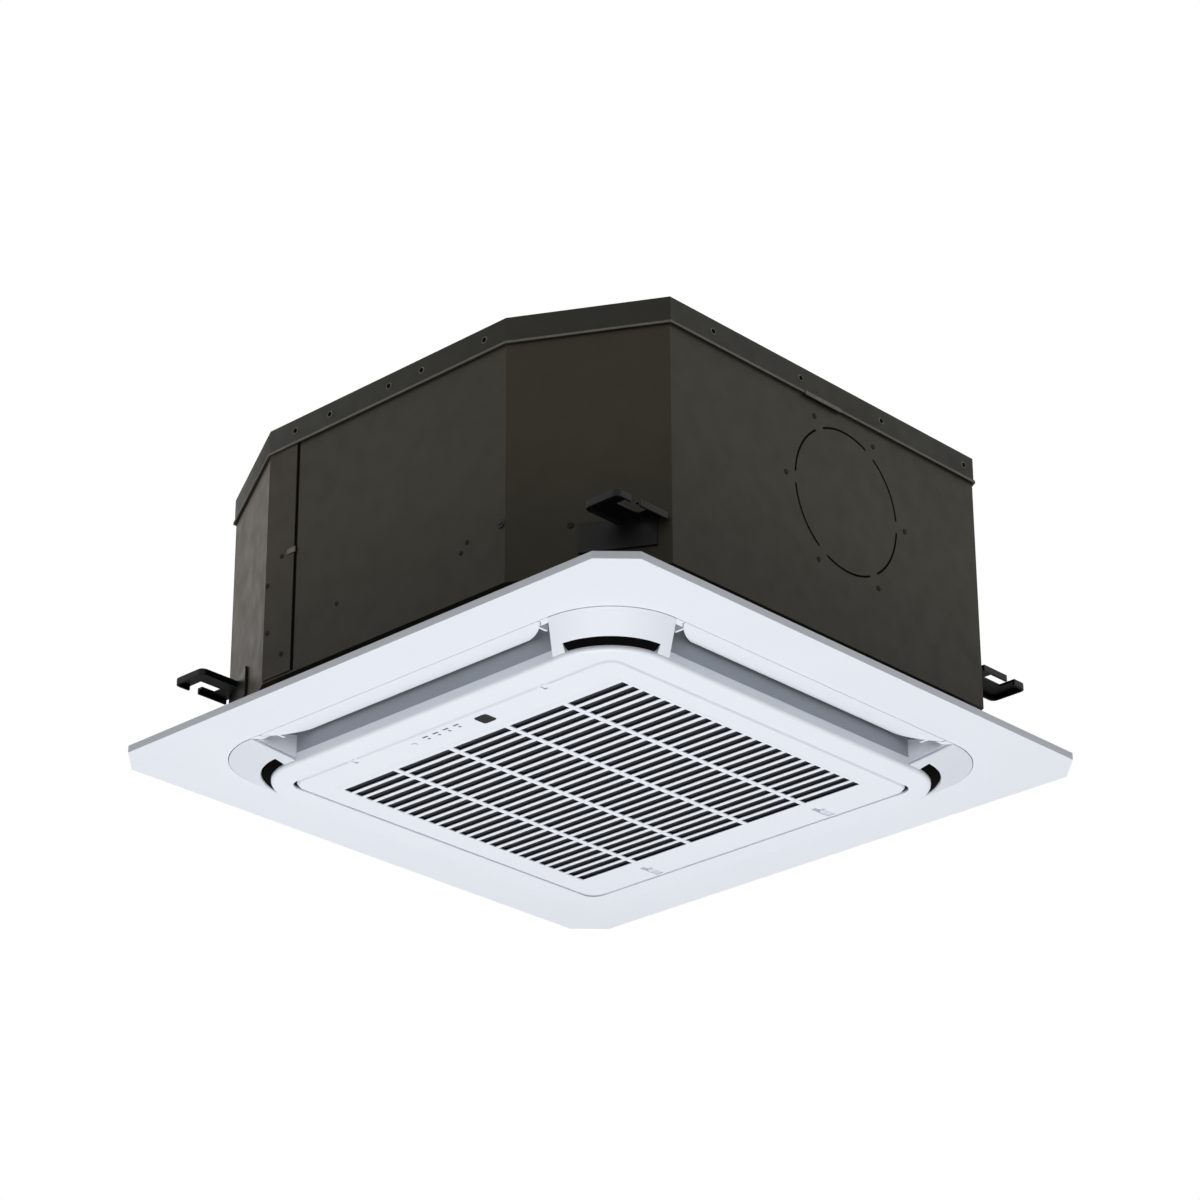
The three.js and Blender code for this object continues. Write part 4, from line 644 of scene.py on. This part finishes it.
def keep_beyond(bm, point, normal):
    """Cuts a mesh by a plane and keeps what lies on the side that the normal points to."""
    bmesh.ops.bisect_plane(bm, geom=everything(bm), plane_co=point, plane_no=normal, clear_inner=True)


# ---------- panel
def slope_z(w):
    """Level of the slope's surface."""
    return STEP_Z + (w - STEP_IN) * SLOPE_DROP / SLOPE


def slope_round(w):
    """Corner radius of the slope's surface."""
    return INNER_ROUND + (w - STEP_IN) * (OUTER_ROUND - INNER_ROUND) / SLOPE


def outlet_half(w):
    """Half length of an outlet."""
    return OUTLET_INNER + (w - STEP_IN) * (OUTLET_OUTER - OUTLET_INNER) / SLOPE


def border(bm):
    """Flat border with its rim, and the foot of the outer collar."""
    back = BORDER_Z + WALL
    lip = PANEL_CORNER - RIM_LIP * (2 - math.sqrt(2))  # leg of the corner cut at the lip's inner edge
    rim = cut_square_loop(bm, PANEL - RIM_LIP, lip, 0)
    top = cut_square_loop(bm, PANEL, PANEL_CORNER, 0)
    front = cut_square_loop(bm, PANEL, PANEL_CORNER, BORDER_Z)
    bridge(bm, rim, top, front)
    hole = square_loop(bm, STEP_OUT, OUTER_ROUND, BORDER_Z)
    fill(bm, front, hole)
    inner = square_loop(bm, STEP_OUT, OUTER_ROUND, SHELL_Z)
    outer = square_loop(bm, STEP_OUT + WALL, OUTER_ROUND + WALL, SHELL_Z)
    foot = square_loop(bm, STEP_OUT + WALL, OUTER_ROUND + WALL, back)
    bridge(bm, hole, inner, outer, foot)
    edge = cut_square_loop(bm, PANEL - RIM_LIP, lip, back)
    fill(bm, foot, edge)
    bridge(bm, edge, rim)


def ring(bm):
    """Flat ring round the grille, its rounded outer edge and the foot of the inner collar."""
    loops = [square_loop(bm, RING_IN, RING_IN_ROUND, FACE_Z)]
    for step in range(RING_STEPS + 1):
        turn = math.radians(90 * step / RING_STEPS)
        out = RING_ROUND * (1 - math.sin(turn))
        up = RING_ROUND * (1 - math.cos(turn))
        loops.append(square_loop(bm, STEP_IN - out, INNER_ROUND - out, FACE_Z + up))
    loops.append(square_loop(bm, STEP_IN, INNER_ROUND, SHELL_Z))
    loops.append(square_loop(bm, STEP_IN - WALL, INNER_ROUND - WALL, SHELL_Z))
    loops.append(square_loop(bm, STEP_IN - WALL, INNER_ROUND - WALL, FACE_Z + WALL))
    loops.append(square_loop(bm, RING_IN, RING_IN_ROUND, FACE_Z + WALL))
    bridge(bm, *loops, loops[0])


def end_wall(bm, side):
    """Slanting end wall of the -Y outlet, between the collars and above the corner cover."""
    verts = box_in(bm, 0, 1, -STEP_OUT - WALL / 2, -STEP_IN + WALL / 2, 0, 1)
    rise = WALL * math.hypot(1, SLOPE_DROP / SLOPE) + COVER_GAP
    for vert in verts:
        w = -vert.co.y
        vert.co.x = side * (outlet_half(w) + vert.co.x * END_WALL)
        vert.co.z = SHELL_Z if vert.co.z > 0.5 else slope_z(w) + rise
    return verts


def end_roof(bm, side):
    """Pale roof above the blade's curved end."""
    verts = box_in(bm, 0, 1, -STEP_OUT + PAD_SEAM, -STEP_OUT + ROOF_DEPTH, ROOF_Z, ROOF_Z + PAD)
    for vert in verts:
        vert.co.x = side * (ROOF_X if vert.co.x < 0.5 else outlet_half(-vert.co.y) + SUNK)
    return verts


def end_pad(bm, side):
    """Shelf level with the blade that closes the outlet's outer corner and follows the blade's end."""
    before = set(bm.faces)
    for vert in bmesh.ops.create_grid(bm, x_segments=2, y_segments=10, size=0.5)["verts"]:
        down = PAD_DEPTH * (vert.co.y + 0.5)
        w = STEP_OUT - PAD_SEAM - down
        near = blade_half(down / BLADE_WIDTH) + PAD_GAP
        far = outlet_half(w) + SUNK
        x = near + (vert.co.x + 0.5) * (far - near)
        vert.co = Vector((side * x, -w, blade_z(down / BLADE_WIDTH) + PAD_RISE))
    faces = thicken(bm, [f for f in bm.faces if f not in before], PAD)
    return list({v for f in faces for v in f.verts})


def hinge_ear(bm, x):
    """Ear on the ring that reaches into the grille's notch and holds a hinge pin."""
    box_in(bm, x - EAR, x + EAR, *EAR_Y, *EAR_Z)


def panel():
    """The panel's moulding, and the walls of its ducts, which stay as in the CAD."""
    bm = bmesh.new()
    border(bm)
    soften(bm, EDGE, 40)
    inner = bmesh.new()
    ring(inner)
    soften(inner, 0.4, 60)
    for k in range(4):
        for side in (-1, 1):
            for end in (end_wall, end_roof, end_pad):
                quarter_turn(inner, k, end(inner, side))
    hinge_ear(inner, HINGE_X)
    hinge_ear(inner, -HINGE_X)
    merge(bm, inner)
    finished("panel_moulding", bm, "white", ["panel_frame"])
    upper = copied("panel_frame")
    keep_beyond(upper, (0, 0, SHELL_Z), (0, 0, 1))
    fill(upper, [e for e in upper.edges if len(e.link_faces) == 1])
    for piece in islands(upper):
        if max(abs(v.co.x) for v in piece) > PANEL - 2 * RIM_LIP:
            bmesh.ops.delete(upper, geom=list(piece), context="VERTS")
    # the panel's walls above its face get a grey of painted shade, for the dark inside of the ducts
    finished("duct_walls", upper, "cavity")


def duct_shade_strip(k):
    """Painted shade on the inner wall of a duct: a grey strip in front of the white wall."""
    bm = bmesh.new()
    back, face = SHADE_STRIP
    box_in(bm, -SHADE_STRIP_X, SHADE_STRIP_X, -STEP_IN - face, -STEP_IN - back, *SHADE_STRIP_Z)
    soften(bm, 0.15)
    quarter_turn(bm, k)
    finished(f"duct_shade_strip_{k + 1}", bm, "outlet_shade")


def slot_shade(k):
    """Painted shade in a corner's arc slot: a black strip behind it, a section drawn round the arc."""
    bm = bmesh.new()
    width = ARC_SLOT - 2 * SHADE_GAP
    for vert in bmesh.ops.create_grid(bm, x_segments=1, y_segments=1, size=0.5)["verts"]:
        out = SHADE_GAP + (vert.co.x + 0.5) * width
        level = slope_z(STEP_IN + out) + SHADE_UP if vert.co.y < 0 else slope_z(STEP_OUT)
        vert.co = Vector((INNER_ROUND + out, 0, level))
    start = Matrix.Rotation(math.radians(-45 - ARC_SPREAD), 4, "Z")
    bmesh.ops.transform(bm, matrix=start, verts=bm.verts)
    way = dict(cent=(0, 0, 0), axis=(0, 0, 1), angle=math.radians(2 * ARC_SPREAD), steps=SHADE_STEPS)
    bmesh.ops.spin(bm, geom=everything(bm), use_merge=False, **way)
    bmesh.ops.translate(bm, verts=bm.verts, vec=(CORNER, -CORNER, 0))
    quarter_turn(bm, k)
    finished(f"slot_shade_{k + 1}", bm, "pitch")


def across(place):
    """The same place or direction on the other side of the near corner's diagonal."""
    return Vector((-place.y, -place.x, 0))


def corner_cover(k):
    """Sloping cover of one corner, with its arc slot, cut off along both outlets' ends."""
    bm = bmesh.new()
    slot_w = STEP_IN + ARC_SLOT
    stops = [STEP_IN + COVER_GAP, slot_w, (slot_w + STEP_OUT) / 2, STEP_OUT - COVER_GAP]
    bridge(bm, *[square_loop(bm, w, slope_round(w), slope_z(w), COVER_STEPS) for w in stops])
    start = Vector((OUTLET_INNER, -STEP_IN, 0))
    normal = Vector((SLOPE, OUTLET_OUTER - OUTLET_INNER, 0))
    keep_beyond(bm, start, normal)
    keep_beyond(bm, across(start), across(normal))
    away = [f for f in bm.faces if f.calc_center_median().x < 0 or f.calc_center_median().y > 0]
    bmesh.ops.delete(bm, geom=away, context="FACES")
    slot = []
    for face in bm.faces:
        middle = face.calc_center_median()
        turn = math.degrees(math.atan2(middle.y + CORNER, middle.x - CORNER))
        if abs(turn + 45) < ARC_SPREAD and middle.z < slope_z(slot_w):
            slot.append(face)
    bmesh.ops.delete(bm, geom=slot, context="FACES")
    thicken(bm, bm.faces[:], WALL)
    soften(bm, 0.5, 50)
    quarter_turn(bm, k)
    name = f"corner_cover_{k + 1}"
    finished(f"corner_cover_skin_{k + 1}", bm, "cover", [name])


# ---------- louvres
def blade_z(t):
    """Underside of the blade, which curls up into the duct; t is 0 at its outer edge and 1 at its inner."""
    return BORDER_Z + BLADE_CURL * t ** CURL_POWER


def blade_half(t):
    """Half length of the blade: straight at first, then one long curve of the second degree."""
    down = BLADE_WIDTH * t - BLADE_STRAIGHT
    if down < 0:
        return BLADE_OUTER
    bend, inset = BLADE_BEND
    excess = 2 * bend - BLADE_END
    s = (bend - math.sqrt(bend ** 2 - excess * down)) / excess  # place on the curve, 0 to 1
    return (1 - s) ** 2 * BLADE_OUTER + 2 * s * (1 - s) * (BLADE_OUTER - inset) + s ** 2 * BLADE_TIP


def louvre(k):
    """Blade of one outlet, with an arm and a pin at each end."""
    bm = bmesh.new()
    columns, rows = BLADE_GRID
    bmesh.ops.create_grid(bm, x_segments=columns, y_segments=rows, size=0.5)
    for vert in bm.verts:
        t = (vert.co.y + 0.5) ** ROW_POWER
        w = STEP_OUT - BLADE_SEAM - BLADE_WIDTH * t
        vert.co = Vector((2 * vert.co.x * blade_half(t), -w, blade_z(t)))
    thicken(bm, bm.faces[:], BLADE)
    soften(bm, 0.7, 50)
    reach = outlet_half(PIVOT_W)
    for side, beyond in PIN_REACH.items():
        inner = side * (reach - ARM_INSET)
        box_in(bm, *sorted((inner, inner + side * ARM)), -PIVOT_W - ARM_HALF, -PIVOT_W + ARM_HALF, *ARM_Z)
        rod_in(bm, (inner, -PIVOT_W, PIVOT_Z), (side * (reach + beyond), -PIVOT_W, PIVOT_Z), PIN_R)
    quarter_turn(bm, k)
    name = f"louvre_{k + 1}"
    finished(f"louvre_blade_{k + 1}", bm, "white", [name], name)


# ---------- grille
def notched_loop(bm, half, radius, z, wider=0):
    """Grille outline with a notch for each hinge ear in its -Y edge."""
    side = NOTCH + wider
    deep = -GRILLE + NOTCH_DEPTH + wider
    corners = [(half, half), (-half, half), (-half, -half)]
    for x in (-HINGE_X, HINGE_X):
        corners += [(x - side, -half), (x - side, deep), (x + side, deep), (x + side, -half)]
    corners.append((half, -half))
    rounds = [radius if abs(x) == half and abs(y) == half else 0 for x, y in corners]
    return loop_of(bm, corners, rounds, z, GRILLE_STEPS)


def plate_holes(bm, z):
    """Loops of every opening in the grille's plate at one level."""
    x = FIELD_X / 2 + FIELD_RIM
    y = FIELD_Y / 2 + FIELD_RIM
    loops = [rect_loop(bm, -x, x, -y, y, z)]
    width, length = LATCH_SLOT
    top = GRILLE - LATCH_EDGE
    for side in (-1, 1):
        left = side * LATCH_X - width / 2
        loops.append(rect_loop(bm, left, left + width, top - length, top, z, LATCH_ROUND, LATCH_STEPS))
    x, y, width, radius = RECEIVER
    half = width / 2
    loops.append(rect_loop(bm, x - half, x + half, y - half, y + half, z, radius, RECEIVER_STEPS))
    loops += [circle_loop(bm, led, STRIP_Y, LED_HOLE, z, LED_STEPS) for led in LEDS]
    x, y, radius = BUTTON
    loops.append(circle_loop(bm, x, y, radius, z, BUTTON_STEPS))
    return loops


def grille_plate(bm):
    """Plate with bevelled edge and upstanding edge wall, open at the slotted field."""
    back = FACE_Z + PLATE
    edge = [
        notched_loop(bm, GRILLE - EDGE_BEVEL, GRILLE_ROUND - EDGE_BEVEL, FACE_Z),
        notched_loop(bm, GRILLE, GRILLE_ROUND, FACE_Z + EDGE_BEVEL),
        notched_loop(bm, GRILLE, GRILLE_ROUND, GRILLE_TOP_Z),
        notched_loop(bm, GRILLE - WALL, GRILLE_ROUND - WALL, GRILLE_TOP_Z, WALL),
        notched_loop(bm, GRILLE - WALL, GRILLE_ROUND - WALL, back, WALL),
    ]
    bridge(bm, *edge)
    front = plate_holes(bm, FACE_Z)
    rear = plate_holes(bm, back)
    for one, two in zip(front, rear):
        bridge(bm, one, two)
    fill(bm, edge[0], *front)
    fill(bm, edge[-1], *rear)


def grid_lines(count, opening, gap, margin):
    """Lines of a row of openings with bars between them and a margin at both ends."""
    length = count * opening + (count - 1) * gap
    lines = [-length / 2 - margin]
    for i in range(count):
        start = -length / 2 + i * (opening + gap)
        lines += [start, start + opening]
    lines.append(length / 2 + margin)
    return lines


def slat_field(bm):
    """The slotted field: a grid of bars drawn upwards, leaning, from the plate's face."""
    width = (FIELD_X - (COLUMNS - 1) * MULLION) / COLUMNS
    pitch = FIELD_Y / ROWS
    xs = grid_lines(COLUMNS, width, MULLION, FIELD_RIM)
    ys = grid_lines(ROWS, SLOT, pitch - SLOT, FIELD_RIM + (pitch - SLOT) / 2)
    bmesh.ops.create_grid(bm, x_segments=len(xs) - 1, y_segments=len(ys) - 1, size=0.5)
    for vert in bm.verts:
        i = round((vert.co.x + 0.5) * (len(xs) - 1))
        j = round((vert.co.y + 0.5) * (len(ys) - 1))
        inner = 0 < j < len(ys) - 1
        vert.co = Vector((xs[i], ys[j] - (SLAT_LEAN / 2 if inner else 0), FACE_Z))
    openings = []
    for face in bm.faces:
        middle = face.calc_center_median()
        i = next(n for n, x in enumerate(xs) if x > middle.x) - 1
        j = next(n for n, y in enumerate(ys) if y - SLAT_LEAN / 2 > middle.y) - 1
        if i % 2 == 1 and j % 2 == 1:
            openings.append(face)
    bmesh.ops.delete(bm, geom=openings, context="FACES")
    drawn = bmesh.ops.extrude_face_region(bm, geom=bm.faces[:])
    raised = [v for v in drawn["geom"] if isinstance(v, bmesh.types.BMVert)]
    edge = max(ys) - 0.1  # the field's outer edge stays upright
    for vert in raised:
        vert.co.z += SLAT
        if abs(vert.co.y) < edge:
            vert.co.y += SLAT_LEAN


def front_slot_edge(edge):
    """True for an edge round a slot, on the grille's front."""
    one, two = (v.co for v in edge.verts)
    x = FIELD_X / 2 + 1
    y = FIELD_Y / 2 + 1
    inside = all(abs(p.x) < x and abs(p.y) < y for p in (one, two))
    return inside and max(one.z, two.z) < FACE_Z + 0.01


def grille():
    """Intake grille: plate, slotted field, hinge knuckles and the guide rails of the latches."""
    bm = bmesh.new()
    grille_plate(bm)
    soften(bm, 0.35, 35)
    field = bmesh.new()
    slat_field(field)
    soften(field, 0.5, 50, front_slot_edge, 3)
    merge(bm, field)
    z = FACE_Z + KNUCKLE_R
    for side in (-1, 1):
        for start in KNUCKLE_X:
            x = side * HINGE_X + start
            rod_in(bm, (x, KNUCKLE_Y, z), (x + KNUCKLE, KNUCKLE_Y, z), KNUCKLE_R)
        for rail in (-RAIL_X, RAIL_X):
            x = side * LATCH_X + rail
            box_in(bm, x - RAIL, x + RAIL, *RAIL_Y, *RAIL_Z)
    finished("intake_grille_face", bm, "white", ["intake_grille"], "grille")


def lamp_marks():
    """A small plain printed bar beside each signal lamp."""
    bm = bmesh.new()
    for x in LEDS:
        box_in(bm, x - MARK, x + MARK, *MARK_Y, *MARK_Z)
    soften(bm, 0.05, 50)
    finished("lamp_marks", bm, "print", body="grille")


# ---------- body
def bell_mouth():
    """Round intake mouth under the fan: a flat rim that curves up into the throat."""
    bm = bmesh.new()
    low, high = node_box("bell_mouth")
    flare = high.x - MOUTH_RIM
    throat = high.x - MOUTH_THROAT
    loops = [circle_loop(bm, 0, 0, high.x, low.z, MOUTH_STEPS)]
    for step in range(MOUTH_CURVE + 1):
        turn = math.radians(90 * step / MOUTH_CURVE)
        radius = flare - (flare - throat) * math.sin(turn)
        level = low.z + (THROAT_Z - low.z) * (1 - math.cos(turn))
        loops.append(circle_loop(bm, 0, 0, radius, level, MOUTH_STEPS))
    loops.append(circle_loop(bm, 0, 0, throat, high.z, MOUTH_STEPS))
    bridge(bm, *loops)
    thicken(bm, bm.faces[:], MOUTH_SHEET)
    finished("bell_mouth_smooth", bm, "black", ["bell_mouth"])


def dressed(node, material, size, degrees):
    """A CAD node with the edges that are sharper than so many degrees softened."""
    bm = copied(node)
    soften(bm, size, degrees)
    finished(f"{node}_finished", bm, material, [node], NODES[node]["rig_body"])


def body_corners(out):
    """The body's eight corners, moved outwards by so many millimetres."""
    run = math.hypot(CUT_X, CUT_Y)
    half = BODY + out
    reach = ((BODY - CUT_X) * CUT_Y + BODY * CUT_X) / run + out  # from the middle to a cut's face
    x = (reach * run - half * CUT_X) / CUT_Y
    y = (reach * run - half * CUT_Y) / CUT_X
    return [(x, -half), (half, -y), (half, y), (x, half), (-x, half), (-half, y), (-half, -y), (-x, -half)]


def lid_hem():
    """Painted highlight: a pale metal band along the lower edge of the lid's folded hem, all round the
    body, and on its lap on the +X side.
    """
    bm = bmesh.new()
    inner, outer = HEM_OUT
    foot, top = HEM_UP
    section = [(outer, foot), (outer, top), (inner, top), (inner, foot)]
    loops = [loop_of(bm, body_corners(out), [0] * 8, HEM_Z + up) for out, up in section]
    bridge(bm, *loops, loops[0])
    soften(bm, 0.3, 50)
    back, face = HEM_LAP_OUT
    foot, top = HEM_LAP_UP
    lap = box_in(bm, LID + back, LID + face, *HEM_LAP_Y, HEM_Z + foot, HEM_Z + top)
    bevel(bm, edges_of(lap), 0.5, 2, "EDGES", True)
    finished("lid_hem_highlight", bm, "bare_zinc_and_highlight")


def disc(bm, place, outward, shape):
    """Flat round piece on a face at a place, its shape given as above; returns its vertices."""
    radius, radius2, foot, top = shape
    place = Vector(place)
    return rod_in(bm, place + outward * foot, place + outward * top, radius, radius2, DISC_STEPS)


def wall_disc(bm, side, along, z, face, shape):
    """Disc on a face of one of the body's four sides: 0 is -Y, 1 +X, 2 +Y and 3 -X."""
    quarter_turn(bm, side, disc(bm, (along, -face, z), Vector((0, -1, 0)), shape))


def lid_rivets():
    """Rivets through the lid's skirt, each a flat head with a black disc of painted shade for the hole in
    the middle.
    """
    heads = bmesh.new()
    holes = bmesh.new()
    for side, row in enumerate((RIVETS_Y, RIVETS_X, RIVETS_Y, RIVETS_X)):
        for along in row:
            wall_disc(heads, side, along, RIVET_Z, LID, RIVET_HEAD)
            wall_disc(holes, side, along, RIVET_Z, LID, RIVET_HOLE)
    soften(heads, 0.2, 40)
    finished("lid_rivet_heads", heads, "bare_zinc_and_highlight")
    finished("lid_rivet_holes", holes, "pitch")


def wall_screws():
    """Rusted screws on the -Y wall, the lap, round the knock-out and on the near corner's cut."""
    bm = bmesh.new()
    for along, z in WALL_MARKS:
        wall_disc(bm, 0, along, z, BODY, WALL_SCREW)
    for along, z in CORNER_MARKS:
        wall_disc(bm, 0, along, z, BODY + LAP[1], LAP_SCREW)
    y, z = KNOCK[:2]
    for i in range(KNOCK_COUNT):
        turn = math.radians(360 / KNOCK_COUNT * i)
        along = y + KNOCK_HOLES * math.cos(turn)
        wall_disc(bm, 1, along, z + KNOCK_HOLES * math.sin(turn), BODY, KNOCK_SCREW)
    disc(bm, CUT_SCREW_AT, Vector((CUT_Y, -CUT_X, 0)).normalized(), CUT_SCREW)
    soften(bm, 0.25, 40)
    finished("wall_screws", bm, "rusty")


def wall_plug():
    """Round rubber plug on the -Y wall."""
    bm = bmesh.new()
    wall_disc(bm, 0, *PLUG, BODY, PLUG_FLANGE)
    wall_disc(bm, 0, *PLUG, BODY, PLUG_PIN)
    soften(bm, 0.4, 40)
    finished("wall_plug", bm, "rubber")


def wall_bar(name, ends, proud, levels, size, material):
    """Flat bar along the -Y wall, from its back to its face in front of the wall, softened by a size."""
    bm = bmesh.new()
    back, face = proud
    box_in(bm, *ends, -BODY - face, -BODY - back, *levels)
    soften(bm, size)
    finished(name, bm, material)


def corner_lap():
    """The corner sheet's folded lap over the -Y wall, the black joint beside it and the clip across it."""
    wall_bar("corner_sheet_lap", LAP_X, LAP, LAP_Z, 0.4, "lap")
    wall_bar("corner_sheet_joint", JOINT_X, JOINT, LAP_Z, 0.15, "pitch")
    wall_bar("corner_sheet_clip", CLIP_X, CLIP, CLIP_Z, 0.35, "bare_zinc_and_highlight")


def knock_groove():
    """Scored line round the knock-out: a black band of painted shade, just proud of the wall and left open
    at the six bridges.
    """
    bm = bmesh.new()
    y, z, radius = KNOCK
    centre = (0, y, z)
    part = 360 / KNOCK_COUNT
    for i in range(KNOCK_COUNT):
        verts = bmesh.ops.create_grid(bm, x_segments=1, y_segments=1, size=0.5)["verts"]
        for vert in verts:
            x = BODY + GROOVE_PROUD + (vert.co.x - 0.5) * GROOVE_DEPTH
            vert.co = Vector((x, y + radius + GROOVE * vert.co.y, z))
        start = Matrix.Rotation(math.radians(part * i + KNOCK_BRIDGE / 2), 3, "X")
        bmesh.ops.rotate(bm, cent=centre, matrix=start, verts=verts)
        drawn = list({g for v in verts for g in (v, *v.link_edges, *v.link_faces)})
        turn = dict(axis=(1, 0, 0), angle=math.radians(part - KNOCK_BRIDGE), steps=GROOVE_STEPS)
        bmesh.ops.spin(bm, geom=drawn, cent=centre, use_merge=False, **turn)
    finished("knock_out_groove", bm, "pitch")


def body():
    """The sheet body with everything on its walls, and the bell mouth inside it."""
    dressed("top_plate", "lid", 1.0, 30)
    dressed("casing_wrap", "sheet", 0.5, 20)
    dressed("corner_sheet", "corner_sheet", 0.5, 20)
    for k in range(1, 5):
        dressed(f"hanger_lug_{k}", "lug", 0.6, 30)
    lid_hem()
    lid_rivets()
    wall_screws()
    wall_plug()
    corner_lap()
    knock_groove()
    bell_mouth()


# ---------- CAD nodes shown as they are
PLAIN = {
    "sheet": ["pipe_plate", "motor_bracket", "control_box", "control_box_cover", "coil_partition"],
    "foam": ["drain_pan"],
    "liner": ["insulation_liner"],
    "seal": ["duct_seal"],
    "fins": ["evaporator_coil"],
    "copper": ["coil_end_left", "coil_end_right", "gas_pipe", "liquid_pipe"],
    "brass": ["gas_flare_nut", "liquid_flare_nut"],
    "grey": ["drain_pump", "drain_outlet", "float_rod", "pump_float", "turbo_fan"],
    "rubber": ["drain_hose", "motor_bush_1", "motor_bush_2", "motor_bush_3"],
    "black": ["terminal_block"] + [f"louvre_motor_{k}" for k in range(1, 5)],
    "steel": ["motor_shaft", "fan_nut", "fan_motor", "hinge_pin_1", "hinge_pin_2"],
    "board": ["control_board", "display_board"],
    "white": ["grille_latch_1", "grille_latch_2", "manual_button"],
    "net": ["air_filter"],
    "milk": ["light_guide"],
    "lens": ["receiver_window"],
}


def painted(node, material):
    """A CAD node shown as it is, in a material."""
    NODES[node].data.materials.clear()
    NODES[node].data.materials.append(MATERIALS[material])


# ---------- camera, floor and light
CAMERA_AT = (2191.5, -2327.5, -1354.2)
CAMERA_AZIMUTH = 43.29  # degrees that the view turns from +Y towards -X
CAMERA_RISE = 25.38  # and looks up
CAMERA_ROLL = -0.23
LENS = 111.84  # on a film 36 mm wide
FLOOR_Z = -6000  # so low that views from below still see the object
FLOOR_HALF = 30  # metres
FLOOR_GLOW = 0.7  # seen by the camera alone
SKY_LIGHT = 0.3
SKY_SEEN = 1.0
LAMP_AIM = (0, 0, 0.1)
LAMPS = {  # place and size in metres, power in watts
    "lamp from below": ((0.1, -0.25, -2.4), 2.0, 52),
    "lamp left": ((-2.6, -2.4, -0.3), 1.8, 3.5),
    "lamp right": ((2.8, 0.6, 0.4), 1.8, 3.5),
}


def camera():
    """The photo's camera: near the corner at +X and -Y, below the ceiling, looking up."""
    azimuth = math.radians(CAMERA_AZIMUTH)
    rise = math.radians(CAMERA_RISE)
    flat = math.cos(rise)
    away = Vector((-math.sin(azimuth) * flat, math.cos(azimuth) * flat, math.sin(rise)))
    turn = away.to_track_quat("-Z", "Y").to_matrix().to_4x4()
    roll = Matrix.Rotation(math.radians(CAMERA_ROLL), 4, "Z")
    made = placed("camera", bpy.data.cameras.new("camera"))
    made.data.lens = LENS
    made.data.sensor_width = 36
    made.matrix_world = Matrix.Translation(Vector(CAMERA_AT) * MM) @ turn @ roll
    bpy.context.scene.camera = made


def lamp(name, place, size, power):
    """Round soft lamp that looks at the object."""
    made = placed(name, bpy.data.lights.new(name, "AREA"))
    made.data.shape = "DISK"
    made.data.size = size
    made.data.energy = power
    made.location = place
    made.rotation_euler = (Vector(LAMP_AIM) - Vector(place)).to_track_quat("-Z", "Y").to_euler()


def studio():
    """Plain pale floor far below, and the lamps."""
    bm = bmesh.new()
    bmesh.ops.create_grid(bm, x_segments=1, y_segments=1, size=FLOOR_HALF)
    bmesh.ops.translate(bm, verts=bm.verts, vec=(0, 0, FLOOR_Z * MM))
    floor = placed("floor", mesh_of("floor", bm))
    # a dull, even near-white that shows as plain paper behind the object
    material, tree, shader = surface("pale floor", Base_Color=linear("e8e9ea"), Roughness=0.8)
    seen = add(tree, "ShaderNodeLightPath").outputs["Is Camera Ray"]
    glow = add(tree, "ShaderNodeMapRange", {"Value": seen, "To Min": 0, "To Max": FLOOR_GLOW})
    shader.inputs["Emission Color"].default_value = (1, 1, 1, 1)
    tree.links.new(glow.outputs["Result"], shader.inputs["Emission Strength"])
    floor.data.materials.append(material)
    for name, (place, size, power) in LAMPS.items():
        lamp(name, place, size, power)


def sky():
    """Even light from all sides; the camera, mirrors and glass see plain white."""
    world = bpy.data.worlds.new("sky")
    bpy.context.scene.world = world
    world.use_nodes = True
    tree = world.node_tree
    tree.nodes.clear()
    ray = add(tree, "ShaderNodeLightPath").outputs
    seen = larger(tree, ray["Is Camera Ray"], ray["Is Glossy Ray"])
    seen = larger(tree, seen, ray["Is Transmission Ray"])
    strength = add(tree, "ShaderNodeMapRange", {"Value": seen, "To Min": SKY_LIGHT, "To Max": SKY_SEEN})
    ground = {"Color": [1, 1, 1, 1], "Strength": strength.outputs["Result"]}
    background = add(tree, "ShaderNodeBackground", ground)
    add(tree, "ShaderNodeOutputWorld", {"Surface": background.outputs["Background"]})


panel()
for corner in range(4):
    duct_shade_strip(corner)
    slot_shade(corner)
    corner_cover(corner)
    louvre(corner)
grille()
lamp_marks()
body()
for finish, names in PLAIN.items():
    for plain in names:
        painted(plain, finish)
camera()
studio()
sky()
bpy.context.scene.view_settings.view_transform = "Standard"
